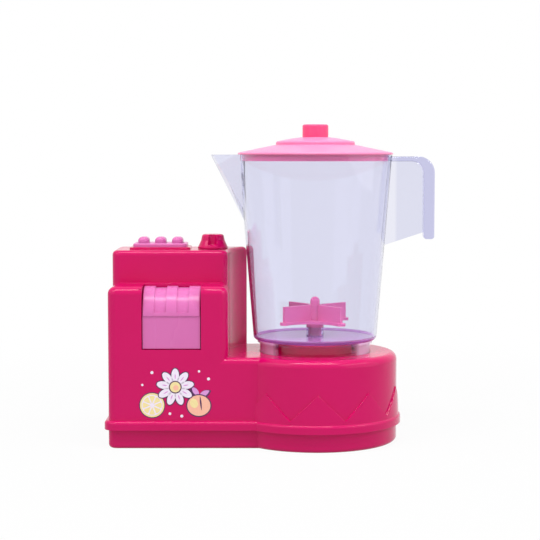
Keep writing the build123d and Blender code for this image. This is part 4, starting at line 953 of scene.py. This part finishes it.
    def citrus(self, across: float, up: float, size: float, segments: int) -> None:
        """Lays a round slice of citrus.

        Args:
            across: Its middle, across.
            up: Its middle, up.
            size: Its radius.
            segments: How many segments.
        """
        tip = size * 0.16
        corner = size * 0.72
        crown = size * 0.78
        half = math.pi / segments * 0.84
        self.lay(Ink.OUTLINE, self.disc(across, up, size * 1.08), 0)
        self.lay(Ink.CREAM, self.disc(across, up, size), 1)
        self.lay(Ink.WHITE, self.disc(across, up, size * 0.86), 2)
        for number in range(segments):
            turn = 2 * math.pi * number / segments
            wedge = [(across + tip * math.cos(turn), up + tip * math.sin(turn))]
            for step in range(-self.wedge_points, self.wedge_points + 1):
                angle = turn + half * step / self.wedge_points
                reach = crown if abs(step) < self.wedge_points else corner
                wedge.append((across + reach * math.cos(angle), up + reach * math.sin(angle)))
            self.lay(Ink.CREAM, wedge, 3)

    def dots(self) -> None:
        """Lays small dots between the motifs."""
        for across, up, radius in self.spots:
            self.lay(Ink.WHITE, self.disc(across, up, radius, self.dot_points), 0)

    def plate(
        self, outline: list[Point2], layer: int, vertices: list[Vector], faces: list[list[int]]
    ) -> None:
        """Adds one shape to a mesh, as a thin plate on the housing's front.

        Args:
            outline: The shape's outline.
            layer: How many films lie under it.
            vertices: The mesh's points, which grow.
            faces: The mesh's faces, which grow.
        """
        count = len(outline)
        back = len(vertices)
        front = back + count
        for depth in (layer, layer + 1):
            for across, up in outline:
                y = self.front_y - self.film * depth
                vertices.append(Vector((self.middle_x + across, y, self.middle_z + up)) * MM)
        faces.append(list(range(back, front)))
        faces.append(list(range(front + count - 1, front - 1, -1)))
        for number in range(count):
            following = (number + 1) % count
            faces.append([back + number, back + following, front + following, front + number])

    def build(self) -> None:
        """Lays the motifs and makes one piece for each ink."""
        self.citrus(-15.2, -8.0, 8.0, segments=8)
        self.peach(15.4, -8.2, 7.6)
        self.daisy(0.0, 4.0, petals=9, reach=12.4, base=6)
        self.dots()
        for ink, shapes in self.shapes.items():
            vertices: list[Vector] = []
            faces: list[list[int]] = []
            for outline, layer in shapes:
                self.plate(outline, layer, vertices, faces)
            self.add_mesh(f"print_{ink.name.lower()}", vertices, faces, ink.value, "housing")


@dataclass(frozen=True)
class Softbox:
    """An area lamp: where it stands, its width and height, and its power in watts."""

    name: str
    at: Point3
    size: Point2
    watts: float


@dataclass
class Studio:
    """Camera, lamps, floor and the white room."""

    lens: float = 99.04
    sensor: float = 36.0
    camera_at: Point3 = (-0.03055, -1.0038, 0.19343)
    pitch: float = -4.478
    clip_start: float = 0.05
    clip_end: float = 100.0
    aim: Point3 = (-0.03, 0.0, 0.09)
    lamps: tuple[Softbox, ...] = (
        Softbox("top_strip", (-0.03, -0.3, 0.95), (0.8, 0.18), 7.0),
        Softbox("key_box", (-0.9, -0.5, 0.7), (1.2, 1.2), 2.5),
        Softbox("left_strip", (-0.75, -0.45, 0.75), (0.6, 0.09), 1.3),
        Softbox("right_strip", (0.7, -0.35, 0.7), (0.6, 0.09), 1.5),
        Softbox("fill_box", (0.95, -0.35, 0.5), (1.2, 1.2), 3.1),
    )
    ambient: float = 0.58
    floor_size: float = 30.0
    floor_grey: float = 0.58
    floor_roughness: float = 0.9
    white_share: float = 0.94
    all_white_from: float = 0.6
    fade_from: float = 0.1

    def camera(self) -> None:
        """Makes the camera, level with the jar's rim."""
        data = bpy.data.cameras.new("camera")
        data.lens = self.lens
        data.sensor_width = self.sensor
        data.clip_start = self.clip_start
        data.clip_end = self.clip_end
        camera = bpy.data.objects.new("camera", data)
        camera.location = self.camera_at
        camera.rotation_euler = (math.radians(90 + self.pitch), 0.0, 0.0)
        bpy.context.scene.collection.objects.link(camera)
        bpy.context.scene.camera = camera

    def softbox(self, box: Softbox) -> None:
        """Adds one softbox, turned to the object's middle.

        Args:
            box: Its settings.
        """
        data = bpy.data.lights.new(box.name, "AREA")
        data.shape = "RECTANGLE"
        data.size, data.size_y = box.size
        data.energy = box.watts
        lamp = bpy.data.objects.new(box.name, data)
        lamp.location = box.at
        lamp.rotation_euler = (Vector(self.aim) - Vector(box.at)).to_track_quat("-Z", "Y").to_euler()
        bpy.context.scene.collection.objects.link(lamp)

    def seen_share(self, tree: bpy.types.NodeTree) -> bpy.types.NodeSocket:
        """Adds nodes that tell what is looked at from what only gives light.

        Args:
            tree: The node tree.

        Returns:
            A socket of 1 for camera, mirror and see-through rays, and 0 for the rest.
        """
        ray = tree.nodes.new("ShaderNodeLightPath")
        share = ray.outputs["Is Camera Ray"]
        for kind in ("Is Glossy Ray", "Is Transmission Ray"):
            either = tree.nodes.new("ShaderNodeMath")
            either.operation = "MAXIMUM"
            tree.links.new(share, either.inputs[0])
            tree.links.new(ray.outputs[kind], either.inputs[1])
            share = either.outputs[0]
        return share

    def room(self) -> None:
        """Makes the white room: plain light all round, white where it is seen or mirrored."""
        world = bpy.data.worlds.new("room")
        world.use_nodes = True
        tree = world.node_tree
        tree.nodes.clear()
        output = tree.nodes.new("ShaderNodeOutputWorld")
        background = tree.nodes.new("ShaderNodeBackground")
        background.inputs["Color"].default_value = (*EVEN, 1.0)
        strength = tree.nodes.new("ShaderNodeMapRange")
        strength.inputs["To Min"].default_value = self.ambient
        strength.inputs["To Max"].default_value = 1.0
        tree.links.new(self.seen_share(tree), strength.inputs["Value"])
        tree.links.new(strength.outputs["Result"], background.inputs["Strength"])
        tree.links.new(background.outputs["Background"], output.inputs["Surface"])
        bpy.context.scene.world = world

    def floor(self) -> None:
        """Lays the floor: pale grey with the object's shadow, nearly white where it is seen."""
        half = self.floor_size / 2
        mesh = bpy.data.meshes.new("floor")
        corners = [(-half, -half, 0.0), (half, -half, 0.0), (half, half, 0.0), (-half, half, 0.0)]
        mesh.from_pydata(corners, [], [[0, 1, 2, 3]])
        sheet = ShaderSheet("floor_white")
        grey = (self.floor_grey, self.floor_grey, self.floor_grey, 1.0)
        sheet.set(sheet.surface, Base_Color=grey, Roughness=self.floor_roughness, Specular_IOR_Level=0.0)
        away = sheet.add("ShaderNodeVectorMath", operation="LENGTH")
        sheet.join(sheet.place(), "Vector", away, "Vector")
        fade = sheet.ramp(
            away.outputs["Value"], self.fade_from, self.all_white_from, self.white_share, 1.0
        )
        fade.node.interpolation_type = "SMOOTHSTEP"
        white = sheet.add("ShaderNodeMath", operation="MULTIPLY")
        sheet.tree.links.new(self.seen_share(sheet.tree), white.inputs[0])
        sheet.tree.links.new(fade, white.inputs[1])
        glow = sheet.add("ShaderNodeEmission")
        both = sheet.add("ShaderNodeMixShader")
        parts = (white.outputs[0], sheet.surface.outputs[0], glow.outputs[0])
        for socket, way_in in zip(parts, both.inputs):
            sheet.tree.links.new(socket, way_in)
        sheet.tree.links.new(both.outputs[0], sheet.output.inputs["Surface"])
        mesh.materials.append(sheet.material)
        floor = bpy.data.objects.new("floor", mesh)
        bpy.context.scene.collection.objects.link(floor)

    def build(self) -> None:
        """Sets up the whole studio."""
        self.camera()
        for box in self.lamps:
            self.softbox(box)
        self.room()
        self.floor()
        bpy.context.scene.view_settings.view_transform = "Standard"


def main() -> None:
    """Builds the studio and every sub-assembly in turn."""
    logging.basicConfig(level=logging.INFO, format="%(name)s %(message)s")
    Studio().build()
    assemblies = (
        Housing(),
        Jar(),
        Lid(),
        Impeller(),
        Drive(),
        BatteryBox(),
        RockerSwitch(),
        Buttons(),
        Dial(),
        FruitPrint(),
    )
    for assembly in assemblies:
        assembly.build()
        log.info("%s done", assembly.title)


if __name__ == "__main__":
    main()
